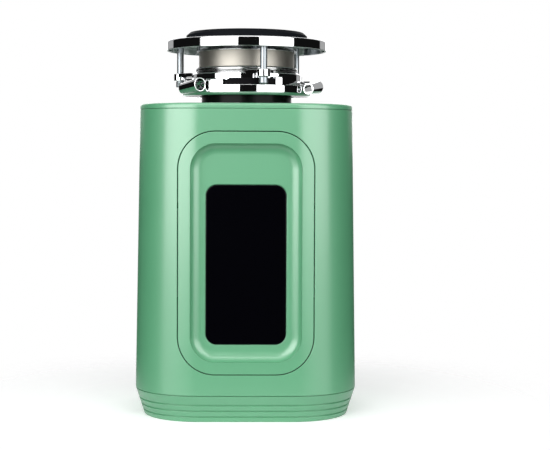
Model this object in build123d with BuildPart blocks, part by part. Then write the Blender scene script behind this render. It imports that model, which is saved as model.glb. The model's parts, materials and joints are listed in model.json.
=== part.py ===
from build123d import *
import os
from math import atan2, cos, degrees, radians, sin, sqrt

# Food waste disposer on its three-screw sink mount, in millimetres.
# The origin is on the drain axis, in the plane where the rim of the sink flange rests on the sink.
# Z points up, the front panel faces -Y, and an azimuth is counted from the front towards +X.

os.makedirs("parts", exist_ok=True)

# Heights of the stack, from the foot up to the underside of the rim
base_height = 24.0
body_height = 244.7
lid_height = 4.9
neck_show = 8.4
lock_height = 9.0
cushion_rise = 6.0
ear_gap = 0.5
ear_height = 6.5
clamp_opening = 28.0
gasket_seat = 4.3

z_foot = -(base_height + body_height + lid_height + neck_show + lock_height
           + cushion_rise + ear_gap + ear_height + clamp_opening + gasket_seat)
z_seam = z_foot + base_height
z_shoulder = z_seam + body_height
z_lid = z_shoulder + lid_height
z_lock = z_lid + neck_show
z_cushion = z_lock + lock_height
z_ear = z_cushion + cushion_rise + ear_gap
z_ear_top = z_ear + ear_height
z_pan_top = z_ear_top + clamp_opening

# Housing: a rounded square that tapers a little towards the top
half_top = 93.8
body_flare = 4.0
foot_inset = 7.5
half_seam = half_top + body_flare
half_foot = half_seam - foot_inset
corner_foot = 50.0
corner_seam = 56.0
corner_top = 54.5
wall = 2.5

# Front trim, its basin and its window, as widths and heights on the leaning front face
trim_side = 35.8
trim_width = 2 * (half_top - trim_side)
trim_corner = 32.0
trim_drop = 0.55
trim_margin = 18.95
trim_height = body_height - 2 * trim_margin
trim_middle = (z_seam + z_shoulder) / 2 - trim_drop
trim_depth = 11.5
trim_skin = 5.7
trim_gap = 0.4
trim_ledge = 3.0
basin_side = 10.5
basin_end = 10.1
basin_width = trim_width - 2 * basin_side
basin_height = trim_height - 2 * basin_end
basin_corner = 22.0
basin_depth = 7.3
basin_cove = 6.8
window_side = 13.0
window_end = 24.8
window_width = basin_width - 2 * window_side
window_height = basin_height - 2 * window_end
window_corner = 9.5
window_drop = 10.3
window_thickness = 2.4
window_proud = 0.5
window_gap = 0.25

# Base cover: steps on its slope, a raised panel inside a foot ring, and what passes the panel
groove_heights = (5.5, 10.8, 16.2)
groove_width = 0.9
groove_depth = 0.8
foot_wall = 4.0
panel_rise = 6.0
panel_thickness = 2.5
wrench_hole_r = 13.0
post_r = 6.0
post_reach = 42.0
boss_inset = 29.8
boss_reach = half_seam - boss_inset
boss_height = 30.0
boss_foot_r = 5.0
rib_width = 3.0
vent_length = 26.0
vent_width = 4.0
vent_count = 5
vent_pitch = 9.0

# Sink flange and the gasket under its rim
sleeve_r = 43.5
sleeve_wall = 1.2
sleeve_length = 42.3
rim_width = 6.5
rim_r = sleeve_r + rim_width
rim_thickness = 2.4
sleeve_clearance = 0.5
gasket_margin = 5.0
gasket_r = rim_r + gasket_margin
gasket_lip = 3.7
gasket_step = 0.5

# Snap ring in the groove of the sleeve
snap_wire_r = 1.9
snap_bite = 0.6
snap_split = 24.0

# Mounting ring with ears for three screws, three ramps and three retaining fingers
ring_sheet = 1.6
ring_bore_gap = 0.7
ring_bore_r = sleeve_r + ring_bore_gap
shoulder_run = 4.2
ring_r = ring_bore_r + ring_sheet + shoulder_run
ring_shoulder = 2.2
ear_length = 14.0
screw_circle_r = ring_r + ear_length
screw_azimuths = (-106.7, 13.3, 133.3)
ear_root_width = 26.0
ear_sheet = 3.2
boss_r = 6.1
ramp_width = 6.5
ramp_r = ring_r + ramp_width
ramp_start = -72.0
ramp_span = 51.0
ramp_low = 0.9
ramp_high = 3.5
finger_start = 27.0
finger_span = 7.0
finger_sheet = 1.3

# Support flange that the screws press up under the gasket
pan_margin = 8.7
pan_r = screw_circle_r + pan_margin
pan_depth = 8.5
pan_sheet = 1.6
collar_drop = 9.7

# Mounting screws, slotted at the lower end
screw_r = 3.15
screw_head_r = 4.0
screw_head_height = 5.6
screw_slot_width = 1.2
screw_slot_depth = 1.6
screw_clearance = 0.2
screw_point = 1.0
tip_gap = 0.1
moving_gap = 0.3

# Cushion gasket between the rings, gripping the lip on the neck of the hopper
neck_inset = 2.3
neck_r = sleeve_r - neck_inset
lip_width = 8.3
lip_r = neck_r + lip_width
cushion_margin = 5.0
cushion_r = ring_r + cushion_margin
block_start = -19.5
block_span = 54.0
block_gap = 0.6
block_inner_r = ring_r + block_gap

# Locking ring with three hooks and three rolled lugs
lock_room = 4.0
lock_r = cushion_r + lock_room
lock_bore_gap = 2.0
lock_bore_r = neck_r + lock_bore_gap
hook_start = -38.0
hook_span = 17.0
hook_reach = 7.5
lug_middle = -50.3
lug_length = 25.0
lug_stand = 4.3
lug_offset_r = lock_r + lug_stand
lug_small_r = 4.9
lug_large_r = 6.3
lug_sheet = 1.5
lug_overrun = 0.1
lug_small_rise = 6.2
lug_large_rise = 9.0

# Hopper: neck, bowl, flange and dishwasher inlet
hopper_wall = 2.2
lip_thickness = 2.0
lip_drop = 3.4
bowl_inset = 25.8
bowl_r = half_top - bowl_inset
neck_sink = 6.7
neck_foot = z_shoulder - neck_sink
bowl_slope = 19.0
bowl_top = neck_foot - bowl_slope
shoulder_round = 9.0
bowl_height = 61.0
z_joint = bowl_top - bowl_height
flange_width = 10.0
flange_r = bowl_r + flange_width
flange_thickness = 3.0
inlet_r = 11.0
inlet_bore_r = 8.5
inlet_over_joint = 40.0
inlet_rise = z_joint + inlet_over_joint
inlet_show = 16.2
inlet_reach = half_top + inlet_show
inlet_stop = 15.0
inlet_stop_height = 1.2
cover_gap = 0.8

# Splash guard
guard_fit = 0.4
guard_r = neck_r - hopper_wall - guard_fit
guard_flange_gap = 2.4
guard_flange_r = ring_r - ring_sheet - guard_flange_gap
guard_sheet = 1.6
guard_drop = 8.0
guard_hole_r = 13.0
petal_count = 8
petal_slit = 1.4
petal_rim = 6.6
petal_reach = guard_r - petal_rim

# Drain chamber, shredder ring and turntable
chamber_wall = 3.0
seat_width = 3.0
seat_step = 1.0
ring_seat_r = bowl_r - seat_step
chamber_r = ring_seat_r + chamber_wall
chamber_bore_r = ring_seat_r - seat_width
shredder_height = 34.0
chamber_height = 36.0
z_ring_seat = z_joint - shredder_height
z_chamber_floor = z_ring_seat - chamber_height
floor_thickness = 4.0
plate_lip = 5.0
chamber_plate_r = chamber_r + plate_lip
skirt_drop = 5.0
shredder_thickness = 5.4
shredder_bore_r = ring_seat_r - shredder_thickness
shredder_fit = 0.2
notch_count = 36
notch_width = 4.0
notch_depth = 2.6
notch_height = 19.0
table_gap = 1.0
table_r = shredder_bore_r - table_gap
table_thickness = 2.6
table_over_seat = 4.0
z_table = z_ring_seat + table_over_seat
table_hub_r = 14.0
table_hub_rise = 5.0
vane_height = 5.0
vane_width = 3.0

# Impellers and their rivets
pivot_inset = 19.6
pivot_r = table_r - pivot_inset
impeller_hub_r = 8.5
impeller_plate = 3.6
impeller_height = 14.0
impeller_reach = 16.5
impeller_width = 12.0
impeller_toe = 8.0
rivet_r = 4.0
rivet_head_r = 6.4
rivet_head = 2.0
pivot_clearance = 0.08

# Discharge: outlet spigot, gasket, elbow, flange and bolts
z_outlet = (z_ring_seat + z_chamber_floor) / 2
outlet_bore_r = 17.3
outlet_r = 21.5
outlet_stand = 18.0
outlet_face = chamber_r + outlet_stand
oval_width = 72.0
oval_height = 46.0
oval_corner = 20.0
oval_plate = 4.0
seal_thickness = 2.5
elbow_r = 19.0
elbow_wall = 2.0
elbow_collar_r = 23.5
elbow_run = 10.0
elbow_bend = 28.0
elbow_tail = 34.0
clamp_plate = 2.5
bolt_span = 27.0
bolt_r = 2.5
bolt_head_r = 4.2
bolt_head_height = 3.5
bolt_clearance = 0.25

# Motor: shaft, bearings, rotor, stator, shell and end frame
shaft_r = 8.0
shaft_end_r = 6.0
shaft_rise = 14.0
z_shaft_low = z_foot + shaft_rise
shaft_shoulder = 5.0
z_shaft_high = z_chamber_floor + shaft_shoulder
hex_across = 6.35
hex_depth = 8.0
bearing_r = 12.0
running_gap = 0.05
frame_rise = 28.0
z_frame = z_foot + frame_rise
frame_thickness = 4.0
frame_hub_r = 16.0
lower_bearing_height = 12.0
lower_bearing_top = z_frame + lower_bearing_height
washer_room = 4.0
z_shaft_step = lower_bearing_top + washer_room
stator_step = 4.0
stator_r = bowl_r - stator_step
rotor_inset = 32.0
rotor_r = stator_r - rotor_inset
air_gap = 0.6
core_over_step = 10.0
z_core = z_shaft_step + core_over_step
core_head_room = 20.0
core_height = z_chamber_floor - core_head_room - z_core
end_ring_height = 6.0
end_ring_step = 1.0
end_ring_width = 13.0
end_ring_inner_r = rotor_r - end_ring_step - end_ring_width
end_fin_count = 8
end_fin_length = 6.0
end_fin_width = 2.0
end_fin_height = 3.0
slot_count = 24
yoke = 14.0
slot_root_r = stator_r - yoke
slot_width = 5.2
slot_mouth = 2.4
winding_step = 4.0
winding_flare = 5.0
winding_inner_r = rotor_r + winding_step
winding_outer_r = slot_root_r + winding_flare
winding_height = 9.5
shell_space = 8.5
shell_r = stator_r + shell_space
shell_sheet = 1.5
frame_lip = 1.0
frame_r = shell_r + frame_lip
through_bolt_r = 2.2
through_step = 2.4
through_circle_r = stator_r + through_step
through_roof = 1.0
frame_window_length = 24.0
frame_window_width = 14.0
frame_window_corner = 4.0

# Insulation round the hopper
wool_gap = 1.0
wool_outer_gap = 1.3
wool_thickness = half_top - trim_depth - wool_outer_gap - wool_gap - bowl_r
pipe_gap = 1.5
wool_rise = 5.5
wool_top_gap = 7.5
wool_height = bowl_height - wool_rise - wool_top_gap

# Electrics
button_inset = 49.8
button_place = (0.0, button_inset - half_seam)
button_r = 5.2
button_show = 3.0
button_edge = 1.0
button_stem_r = 2.5
button_travel = 3.5
button_gap = 0.4
protector_width = 30.0
protector_depth = 22.0
protector_rise = 14.0
capacitor_gap = 7.6
capacitor_r = (sqrt(2) * half_seam - (sqrt(2) - 1) * corner_seam - shell_r - 2 * wall - capacitor_gap) / 2
capacitor_edge = 2.0
capacitor_azimuth = 225.0
tab_offset = 4.0
tab_rise = 7.0
tab_sheet = 1.0
tab_width = 6.0
lead_arch = 15.0
strap_sheet = 1.2
strap_width = 12.0
gland_inset = 4.2
gland_x = corner_seam - half_seam - gland_inset
gland_rise = 46.0
gland_r = 9.0
gland_neck = 13.6
gland_neck_corner = 2.0
gland_bore_r = 4.5
gland_head = 4.0
block_width = 30.0
block_depth = 12.0
block_height = 20.0
capacitor_stand = 6.0
z_capacitor = z_foot + gland_rise + block_height / 2 + capacitor_stand
capacitor_length = z_chamber_floor - z_capacitor
lead_r = 1.3

# Fasteners
case_screw_r = 2.0
case_screw_head_r = 4.0
case_screw_head = 2.0
flange_screw_inset = 4.6
flange_screw_circle_r = flange_r - flange_screw_inset
flange_screw_count = 6


def half_at(z):
    """Half width of the body at a height."""
    return half_seam + (half_top - half_seam) * (z - z_seam) / body_height


def corner_at(z):
    """Corner radius of the body at a height."""
    return corner_seam + (corner_top - corner_seam) * (z - z_seam) / body_height


def tapered_block(sections, inset=0.0):
    """Solid through rounded squares, each given as a height, a half width and a corner radius."""
    with BuildPart() as block:
        for height, half, corner in sections:
            with BuildSketch(Plane.XY.offset(height)):
                RectangleRounded(2 * (half - inset), 2 * (half - inset), corner - inset)
        loft(ruled=True)
    return block.part


def body_block(low, high, inset=0.0):
    """The body's taper between two heights, drawn in by an inset."""
    return tapered_block([(z, half_at(z), corner_at(z)) for z in (low, high)], inset)


def foot_at(z):
    """Half width and corner radius of the base's slope at a height."""
    share = (z - z_foot) / base_height
    return half_foot + share * (half_seam - half_foot), corner_foot + share * (corner_seam - corner_foot)


def foot_block(low, high, inset=0.0):
    """The base's slope between two heights, drawn in by an inset."""
    return tapered_block([(z, *foot_at(z)) for z in (low, high)], inset)


def radial_plane(azimuth):
    """Upright plane through the drain axis: local x runs outwards at the azimuth, local y up."""
    turn = radians(azimuth)
    return Plane(origin=(0, 0, 0), x_dir=(sin(turn), -cos(turn), 0), z_dir=(-cos(turn), -sin(turn), 0))


def turned(azimuths):
    """Locations that turn a piece about the drain axis."""
    return [Location((0, 0, 0), (0, 0, azimuth)) for azimuth in azimuths]


def revolved(points, azimuth=0.0, arc=360.0):
    """Solid of revolution about the drain axis from points given as (radius, height)."""
    with BuildPart() as turned_part:
        with BuildSketch(radial_plane(azimuth)):
            with BuildLine():
                Polyline(*points, close=True)
            make_face()
        revolve(axis=Axis.Z, revolution_arc=arc)
    return turned_part.part


def tube(inner, outer, low, high):
    """Ring about the drain axis between two radii and two heights."""
    return revolved([(inner, low), (outer, low), (outer, high), (inner, high)])


# The leaning front face, and prisms that stand square to it

face_lean = atan2(half_seam - half_top, body_height)
front_face = Plane(origin=(0, -half_at(trim_middle), trim_middle), x_dir=(1, 0, 0),
                   z_dir=(0, -cos(face_lean), sin(face_lean)))
overshoot = 5.0


def front_prism(width, height, corner, near, far, rise=0.0):
    """Rounded prism from a depth near the front face to a depth further in."""
    with BuildPart() as prism:
        with BuildSketch(front_face.offset(-near)):
            with Locations((0, rise)):
                RectangleRounded(width, height, corner)
        extrude(amount=-(far - near))
    return prism.part


def trim_prism(margin, near, far):
    """Prism of the trim's outline, widened by a margin on every side."""
    return front_prism(trim_width + 2 * margin, trim_height + 2 * margin, trim_corner + margin, near, far)


three = (0.0, 120.0, 240.0)
four_corners = [(sx, sy) for sx in (-1, 1) for sy in (-1, 1)]
middle_azimuth = ramp_start + ramp_span / 2

# Sink flange: the sleeve that hangs in the outlet, its rim, and the groove for the snap ring

z_snap = z_ear_top + snap_wire_r + moving_gap
snap_ring_r = sleeve_r + snap_wire_r - snap_bite

with BuildPart() as sink_flange:
    with BuildSketch(Plane.XZ):
        with BuildLine():
            Polyline(
                (sleeve_r - sleeve_wall, -sleeve_length),
                (sleeve_r, -sleeve_length),
                (sleeve_r, 0),
                (rim_r, 0),
                (rim_r, rim_thickness),
                (sleeve_r - sleeve_wall, rim_thickness),
                close=True,
            )
        make_face()
    revolve(axis=Axis.Z)
    fillet(sink_flange.faces().sort_by(Axis.Z)[-1].edges(), radius=0.45 * rim_thickness)
    with Locations((0, 0, z_snap)):
        Torus(snap_ring_r, snap_wire_r, mode=Mode.SUBTRACT)

# Flange gasket: seat under the rim and a raised lip round it, with a step where they meet

with BuildPart() as flange_gasket:
    add(tube(sleeve_r + sleeve_clearance, gasket_r, -gasket_seat, 0))
    add(tube(rim_r + moving_gap, gasket_r - gasket_step, 0, gasket_lip))
    fillet(flange_gasket.edges().sort_by(Axis.Z)[-2:], radius=gasket_step)

# Support flange: an inverted pan with a turned-down collar

with BuildPart() as support_flange:
    with BuildSketch(Plane.XZ):
        with BuildLine():
            FilletPolyline(
                (sleeve_r + sleeve_clearance, z_pan_top - collar_drop),
                (sleeve_r + sleeve_clearance, z_pan_top),
                (pan_r, z_pan_top),
                (pan_r, z_pan_top - pan_depth),
                radius=2 * pan_sheet,
            )
            FilletPolyline(
                (sleeve_r + sleeve_clearance + pan_sheet, z_pan_top - collar_drop),
                (sleeve_r + sleeve_clearance + pan_sheet, z_pan_top - pan_sheet),
                (pan_r - pan_sheet, z_pan_top - pan_sheet),
                (pan_r - pan_sheet, z_pan_top - pan_depth),
                radius=pan_sheet,
            )
            Line((sleeve_r + sleeve_clearance, z_pan_top - collar_drop),
                 (sleeve_r + sleeve_clearance + pan_sheet, z_pan_top - collar_drop))
            Line((pan_r, z_pan_top - pan_depth), (pan_r - pan_sheet, z_pan_top - pan_depth))
        make_face()
    revolve(axis=Axis.Z)

# Snap ring: round wire, split at the back

with BuildPart() as snap_ring:
    with BuildSketch(radial_plane(180 + snap_split / 2)):
        with Locations((snap_ring_r, z_snap)):
            Circle(snap_wire_r)
    revolve(axis=Axis.Z, revolution_arc=360 - snap_split)

# Mounting ring: band with a sloped shoulder, ears, ramps and retaining fingers

screw_hole_r = screw_r + screw_clearance
z_finger = z_cushion + cushion_rise + moving_gap

ring_band = revolved([
    (ring_r - ring_sheet, z_cushion),
    (ring_r, z_cushion),
    (ring_r, z_ear_top - ring_shoulder),
    (ring_bore_r + ring_sheet, z_ear_top),
    (ring_bore_r, z_ear_top),
    (ring_bore_r, z_ear_top - ring_sheet),
    (ring_bore_r + ring_sheet, z_ear_top - ring_sheet),
    (ring_r - ring_sheet, z_ear_top - ring_shoulder - ring_sheet),
])

with BuildPart() as ear:
    with BuildSketch(Plane.XY.offset(z_ear_top - ear_sheet)):
        with BuildLine():
            Polyline(
                (ring_r - ring_sheet, -ear_root_width / 2),
                (screw_circle_r, -boss_r),
                (screw_circle_r, boss_r),
                (ring_r - ring_sheet, ear_root_width / 2),
                close=True,
            )
        make_face()
    extrude(amount=ear_sheet)
    with Locations((screw_circle_r, 0, z_ear)):
        Cylinder(boss_r, ear_height, align=(Align.CENTER, Align.CENTER, Align.MIN))

ramp_tilt = degrees(atan2(ramp_high - ramp_low, 2 * ramp_r * sin(radians(ramp_span / 2))))
ramp_block = revolved([
    (ring_r - ring_sheet / 2, z_cushion),
    (ramp_r, z_cushion),
    (ramp_r, z_cushion + ramp_high + ramp_low),
    (ring_r - ring_sheet / 2, z_cushion + ramp_high + ramp_low),
], azimuth=-ramp_span / 2, arc=ramp_span)
ramp_face = Plane((0, 0, z_cushion + (ramp_low + ramp_high) / 2), x_dir=(0, 1, 0),
                  z_dir=(-sin(radians(ramp_tilt)), 0, cos(radians(ramp_tilt))))

with BuildPart() as ramp:
    add(ramp_block)
    split(bisect_by=ramp_face, keep=Keep.BOTTOM)

finger = revolved([
    (ring_r - ring_sheet / 2, z_finger),
    (cushion_r + moving_gap, z_finger),
    (cushion_r + moving_gap, z_cushion + moving_gap),
    (cushion_r + moving_gap + finger_sheet, z_cushion + moving_gap),
    (cushion_r + moving_gap + finger_sheet, z_finger + finger_sheet),
    (ring_r - ring_sheet / 2, z_finger + finger_sheet),
], azimuth=finger_start, arc=finger_span)

with BuildPart() as mounting_ring:
    add(ring_band)
    with Locations(*turned([azimuth - 90 for azimuth in screw_azimuths])):
        add(ear.part)
    with Locations(*turned([middle_azimuth + turn for turn in three])):
        add(ramp.part)
    with Locations(*turned(three)):
        add(finger)
    with BuildSketch(Plane.XY.offset(z_ear)):
        with Locations(*[Location((screw_circle_r * sin(radians(a)), -screw_circle_r * cos(radians(a))))
                         for a in screw_azimuths]):
            Circle(screw_hole_r)
    extrude(amount=ear_height, mode=Mode.SUBTRACT)
    add(tube(0, ring_bore_r, z_ear_top - 2 * ring_sheet, z_ear_top + ring_sheet), mode=Mode.SUBTRACT)

# Mounting screws: point up against the support flange, slotted head under the ear

z_screw_top = z_pan_top - pan_sheet - tip_gap
z_screw_low = z_ear - moving_gap - screw_head_height


def mounting_screw(azimuth):
    """One long screw at its azimuth."""
    x = screw_circle_r * sin(radians(azimuth))
    y = -screw_circle_r * cos(radians(azimuth))
    with BuildPart() as screw:
        with Locations((x, y, z_screw_low)):
            Cylinder(screw_r, z_screw_top - z_screw_low, align=(Align.CENTER, Align.CENTER, Align.MIN))
        chamfer(screw.edges().sort_by(Axis.Z)[-1], length=screw_point)
        with Locations((x, y, z_screw_low)):
            Cylinder(screw_head_r, screw_head_height, align=(Align.CENTER, Align.CENTER, Align.MIN))
        with Locations(Location((x, y, z_screw_low), (0, 0, azimuth))):
            Box(2 * screw_head_r, screw_slot_width, screw_slot_depth,
                align=(Align.CENTER, Align.CENTER, Align.MIN), mode=Mode.SUBTRACT)
    return screw


mounting_screw_1, mounting_screw_2, mounting_screw_3 = [mounting_screw(a) for a in screw_azimuths]

# Locking ring: rolled band, inward hooks over the ramps, and tapered lugs rolled from strip

z_hook = z_cushion + ramp_high + moving_gap
lock_inner_r = lock_r - ring_sheet

with BuildPart() as lock_band:
    with BuildSketch(Plane.XZ):
        with BuildLine():
            FilletPolyline((lock_bore_r, z_lock), (lock_r, z_lock), (lock_r, z_cushion),
                           radius=2 * ring_sheet)
            FilletPolyline((lock_bore_r, z_lock + ring_sheet), (lock_inner_r, z_lock + ring_sheet),
                           (lock_inner_r, z_cushion), radius=ring_sheet)
            Line((lock_bore_r, z_lock), (lock_bore_r, z_lock + ring_sheet))
            Line((lock_r, z_cushion), (lock_inner_r, z_cushion))
        make_face()
    revolve(axis=Axis.Z)

hook = revolved([
    (lock_inner_r, z_cushion),
    (lock_r, z_cushion),
    (lock_r, z_hook + ring_sheet),
    (lock_r - hook_reach, z_hook + ring_sheet),
    (lock_r - hook_reach, z_hook),
    (lock_inner_r, z_hook),
], azimuth=hook_start, arc=hook_span)


def lug_cone(thinner, longer):
    """Tapered roll along the tangent at the front, thinner by a wall and longer by a share."""
    middle_rise = (lug_small_rise + lug_large_rise) / 2
    middle_r = (lug_small_r + lug_large_r) / 2
    with BuildPart() as cone:
        for side in (-0.5 - longer, 0.5 + longer):
            centre_rise = middle_rise + side * (lug_large_rise - lug_small_rise)
            with BuildSketch(Plane.YZ.offset(side * lug_length)):
                with Locations((-lug_offset_r, z_lock + centre_rise)):
                    Circle(middle_r + side * (lug_large_r - lug_small_r) - thinner)
        loft(ruled=True)
    return cone.part


with BuildPart() as locking_ring:
    add(lock_band.part)
    with Locations(*turned(three)):
        add(hook)
    with Locations(*turned([lug_middle + turn for turn in three])):
        add(lug_cone(0, 0))
    with Locations(*turned([lug_middle + turn for turn in three])):
        add(lug_cone(lug_sheet, lug_overrun), mode=Mode.SUBTRACT)

# Cushion gasket: base ring gripping the lip, and three raised blocks between the rings

z_lip = z_cushion - lip_drop
z_cushion_low = z_lock + ring_sheet + moving_gap

cushion_base = revolved([
    (neck_r + moving_gap, z_cushion_low),
    (cushion_r, z_cushion_low),
    (cushion_r, z_cushion),
    (neck_r - hopper_wall, z_cushion),
    (neck_r - hopper_wall, z_lip),
    (lip_r, z_lip),
    (lip_r, z_lip - lip_thickness),
    (neck_r + moving_gap, z_lip - lip_thickness),
])
with BuildPart() as cushion_block:
    add(revolved([
        (block_inner_r, z_cushion),
        (cushion_r, z_cushion),
        (cushion_r, z_cushion + cushion_rise),
        (block_inner_r, z_cushion + cushion_rise),
    ], azimuth=block_start, arc=block_span))
    block_top = cushion_block.faces().sort_by(Axis.Z)[-1]
    chamfer(block_top.edges().filter_by(GeomType.LINE), length=cushion_rise / 2)

with BuildPart() as cushion_gasket:
    add(cushion_base)
    with Locations(*turned(three)):
        add(cushion_block.part)

# Splash guard: flange on the cushion, skirt in the neck and slit petals round the hole

z_petal = z_cushion - guard_drop

with BuildPart() as splash_guard:
    add(revolved([
        (guard_r - guard_sheet, z_cushion + guard_sheet),
        (guard_flange_r, z_cushion + guard_sheet),
        (guard_flange_r, z_cushion),
        (guard_r, z_cushion),
        (guard_r, z_petal),
        (guard_hole_r, z_petal),
        (guard_hole_r, z_petal + guard_sheet),
        (guard_r - guard_sheet, z_petal + guard_sheet),
    ]))
    with PolarLocations(0, petal_count):
        with Locations((0, 0, z_petal)):
            Box(petal_reach, petal_slit, 2 * guard_sheet,
                align=(Align.MIN, Align.CENTER, Align.CENTER), mode=Mode.SUBTRACT)

# Hopper: neck with its lip, shoulder, bowl, flange and the dishwasher inlet at the back

bowl_inner_r = bowl_r - hopper_wall
neck_inner_r = neck_r - hopper_wall

with BuildPart() as hopper:
    with BuildSketch(Plane.XZ):
        with BuildLine():
            FilletPolyline((neck_r, z_lip), (neck_r, neck_foot), (bowl_r, bowl_top), (bowl_r, z_joint),
                           radius=shoulder_round)
            FilletPolyline((neck_inner_r, z_lip), (neck_inner_r, neck_foot - hopper_wall),
                           (bowl_inner_r, bowl_top - hopper_wall), (bowl_inner_r, z_joint),
                           radius=shoulder_round)
            Line((neck_r, z_lip), (neck_inner_r, z_lip))
            Line((bowl_r, z_joint), (bowl_inner_r, z_joint))
        make_face()
    revolve(axis=Axis.Z)
    add(tube(neck_inner_r, lip_r, z_lip - lip_thickness, z_lip))
    add(tube(bowl_inner_r, flange_r, z_joint, z_joint + flange_thickness))
    with BuildSketch(Plane.XZ.offset(-inlet_reach)):
        with Locations((0, inlet_rise)):
            Circle(inlet_r)
    extrude(amount=inlet_reach - bowl_inner_r)
    with BuildSketch(Plane.XZ.offset(-(inlet_reach - inlet_stop))):
        with Locations((0, inlet_rise)):
            Circle(inlet_r + inlet_stop_height)
    extrude(amount=inlet_reach - inlet_stop - bowl_inner_r)
    with BuildSketch(Plane.XZ.offset(-inlet_reach)):
        with Locations((0, inlet_rise)):
            Circle(inlet_bore_r)
    extrude(amount=inlet_reach - bowl_inner_r + inlet_bore_r, mode=Mode.SUBTRACT)
    with BuildSketch(Plane.XY.offset(z_joint)):
        with PolarLocations(flange_screw_circle_r, flange_screw_count):
            Circle(case_screw_r + screw_clearance)
    extrude(amount=flange_thickness, mode=Mode.SUBTRACT)

# Drain chamber: cup with a seat for the shredder ring, plate over the motor and outlet at the back

chamber_inner_plate = z_chamber_floor - floor_thickness
seal_width = 2.0
seal_inner_r = (ring_seat_r + flange_screw_circle_r - case_screw_r) / 2 - seal_width / 2
seal_depth = 1.6
hub_wall = 5.0

with BuildPart() as drain_chamber:
    add(revolved([
        (bearing_r, chamber_inner_plate - skirt_drop),
        (bearing_r + hub_wall, chamber_inner_plate - skirt_drop),
        (bearing_r + hub_wall, chamber_inner_plate),
        (chamber_plate_r - hopper_wall, chamber_inner_plate),
        (chamber_plate_r - hopper_wall, chamber_inner_plate - skirt_drop),
        (chamber_plate_r, chamber_inner_plate - skirt_drop),
        (chamber_plate_r, z_chamber_floor),
        (chamber_r, z_chamber_floor),
        (chamber_r, z_joint - flange_thickness),
        (flange_r, z_joint - flange_thickness),
        (flange_r, z_joint),
        (ring_seat_r, z_joint),
        (ring_seat_r, z_ring_seat),
        (chamber_bore_r, z_ring_seat),
        (chamber_bore_r, z_chamber_floor),
        (bearing_r + hub_wall, z_chamber_floor),
        (bearing_r + hub_wall, z_chamber_floor + hub_wall),
        (bearing_r, z_chamber_floor + hub_wall),
    ]))
    with BuildSketch(Plane.XZ.offset(-outlet_face)):
        with Locations((0, z_outlet)):
            Circle(outlet_r)
    extrude(amount=outlet_face - chamber_bore_r)
    with BuildSketch(Plane.XZ.offset(-outlet_face)):
        with Locations((0, z_outlet)):
            RectangleRounded(oval_width, oval_height, oval_corner)
            with Locations((-bolt_span, 0), (bolt_span, 0)):
                Circle(bolt_r + bolt_clearance, mode=Mode.SUBTRACT)
    extrude(amount=oval_plate)
    with BuildSketch(Plane.XZ.offset(-outlet_face)):
        with Locations((0, z_outlet)):
            Circle(outlet_bore_r)
    extrude(amount=outlet_face - chamber_bore_r + outlet_bore_r, mode=Mode.SUBTRACT)
    add(tube(0, ring_seat_r, z_ring_seat, z_joint), mode=Mode.SUBTRACT)
    add(tube(seal_inner_r, seal_inner_r + seal_width, z_joint - seal_depth, z_joint), mode=Mode.SUBTRACT)
    with BuildSketch(Plane.XY.offset(z_joint)):
        with PolarLocations(flange_screw_circle_r, flange_screw_count):
            Circle(case_screw_r + screw_clearance / 4)
    extrude(amount=-flange_thickness, mode=Mode.SUBTRACT)
    with BuildSketch(Plane.XY.offset(chamber_inner_plate)):
        with PolarLocations(through_circle_r, 4):
            Circle(through_bolt_r + running_gap)
    extrude(amount=floor_thickness - through_roof, mode=Mode.SUBTRACT)

# Seal in the groove of the drain chamber's flange, and the six screws through both flanges

with BuildPart() as chamber_seal:
    add(tube(seal_inner_r + running_gap, seal_inner_r + seal_width - running_gap,
             z_joint - seal_depth, z_joint))

with BuildPart() as chamber_screws:
    with PolarLocations(flange_screw_circle_r, flange_screw_count):
        with Locations((0, 0, z_joint + flange_thickness)):
            Cylinder(case_screw_head_r, case_screw_head, align=(Align.CENTER, Align.CENTER, Align.MIN))
            Cylinder(case_screw_r, 3 * flange_thickness, align=(Align.CENTER, Align.CENTER, Align.MAX))

# Shredder ring: stationary ring whose lower half is notched all round on the inside

with BuildPart() as shredder_ring:
    add(tube(shredder_bore_r, ring_seat_r - shredder_fit, z_ring_seat, z_joint))
    with PolarLocations(shredder_bore_r, notch_count):
        with Locations((0, 0, z_ring_seat)):
            Box(2 * notch_depth, notch_width, notch_height,
                align=(Align.CENTER, Align.CENTER, Align.MIN), mode=Mode.SUBTRACT)

# Turntable: disc with a hub on the shaft, rivet holes and vanes under it that clear the chamber

with BuildPart() as turntable:
    with Locations((0, 0, z_table)):
        Cylinder(table_r, table_thickness, align=(Align.CENTER, Align.CENTER, Align.MIN))
        Cylinder(table_hub_r, table_thickness + table_hub_rise, align=(Align.CENTER, Align.CENTER, Align.MIN))
    with PolarLocations((table_r + table_hub_r) / 2, 4, start_angle=45):
        with Locations((0, 0, z_table)):
            Box(table_r - table_hub_r, vane_width, vane_height,
                align=(Align.CENTER, Align.CENTER, Align.MAX))
    with BuildSketch(Plane.XY.offset(z_table)):
        with Locations((pivot_r, 0), (-pivot_r, 0)):
            Circle(rivet_r)
        Circle(shaft_end_r)
    extrude(amount=table_thickness + table_hub_rise, mode=Mode.SUBTRACT)
    fillet(turntable.edges().group_by(Axis.Z)[-1].sort_by(SortBy.RADIUS)[-1], radius=table_hub_rise / 2)

# Impellers: a flat hub on the rivet and an upright hammer head that swings round it

z_impeller = z_table + table_thickness + moving_gap


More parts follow.
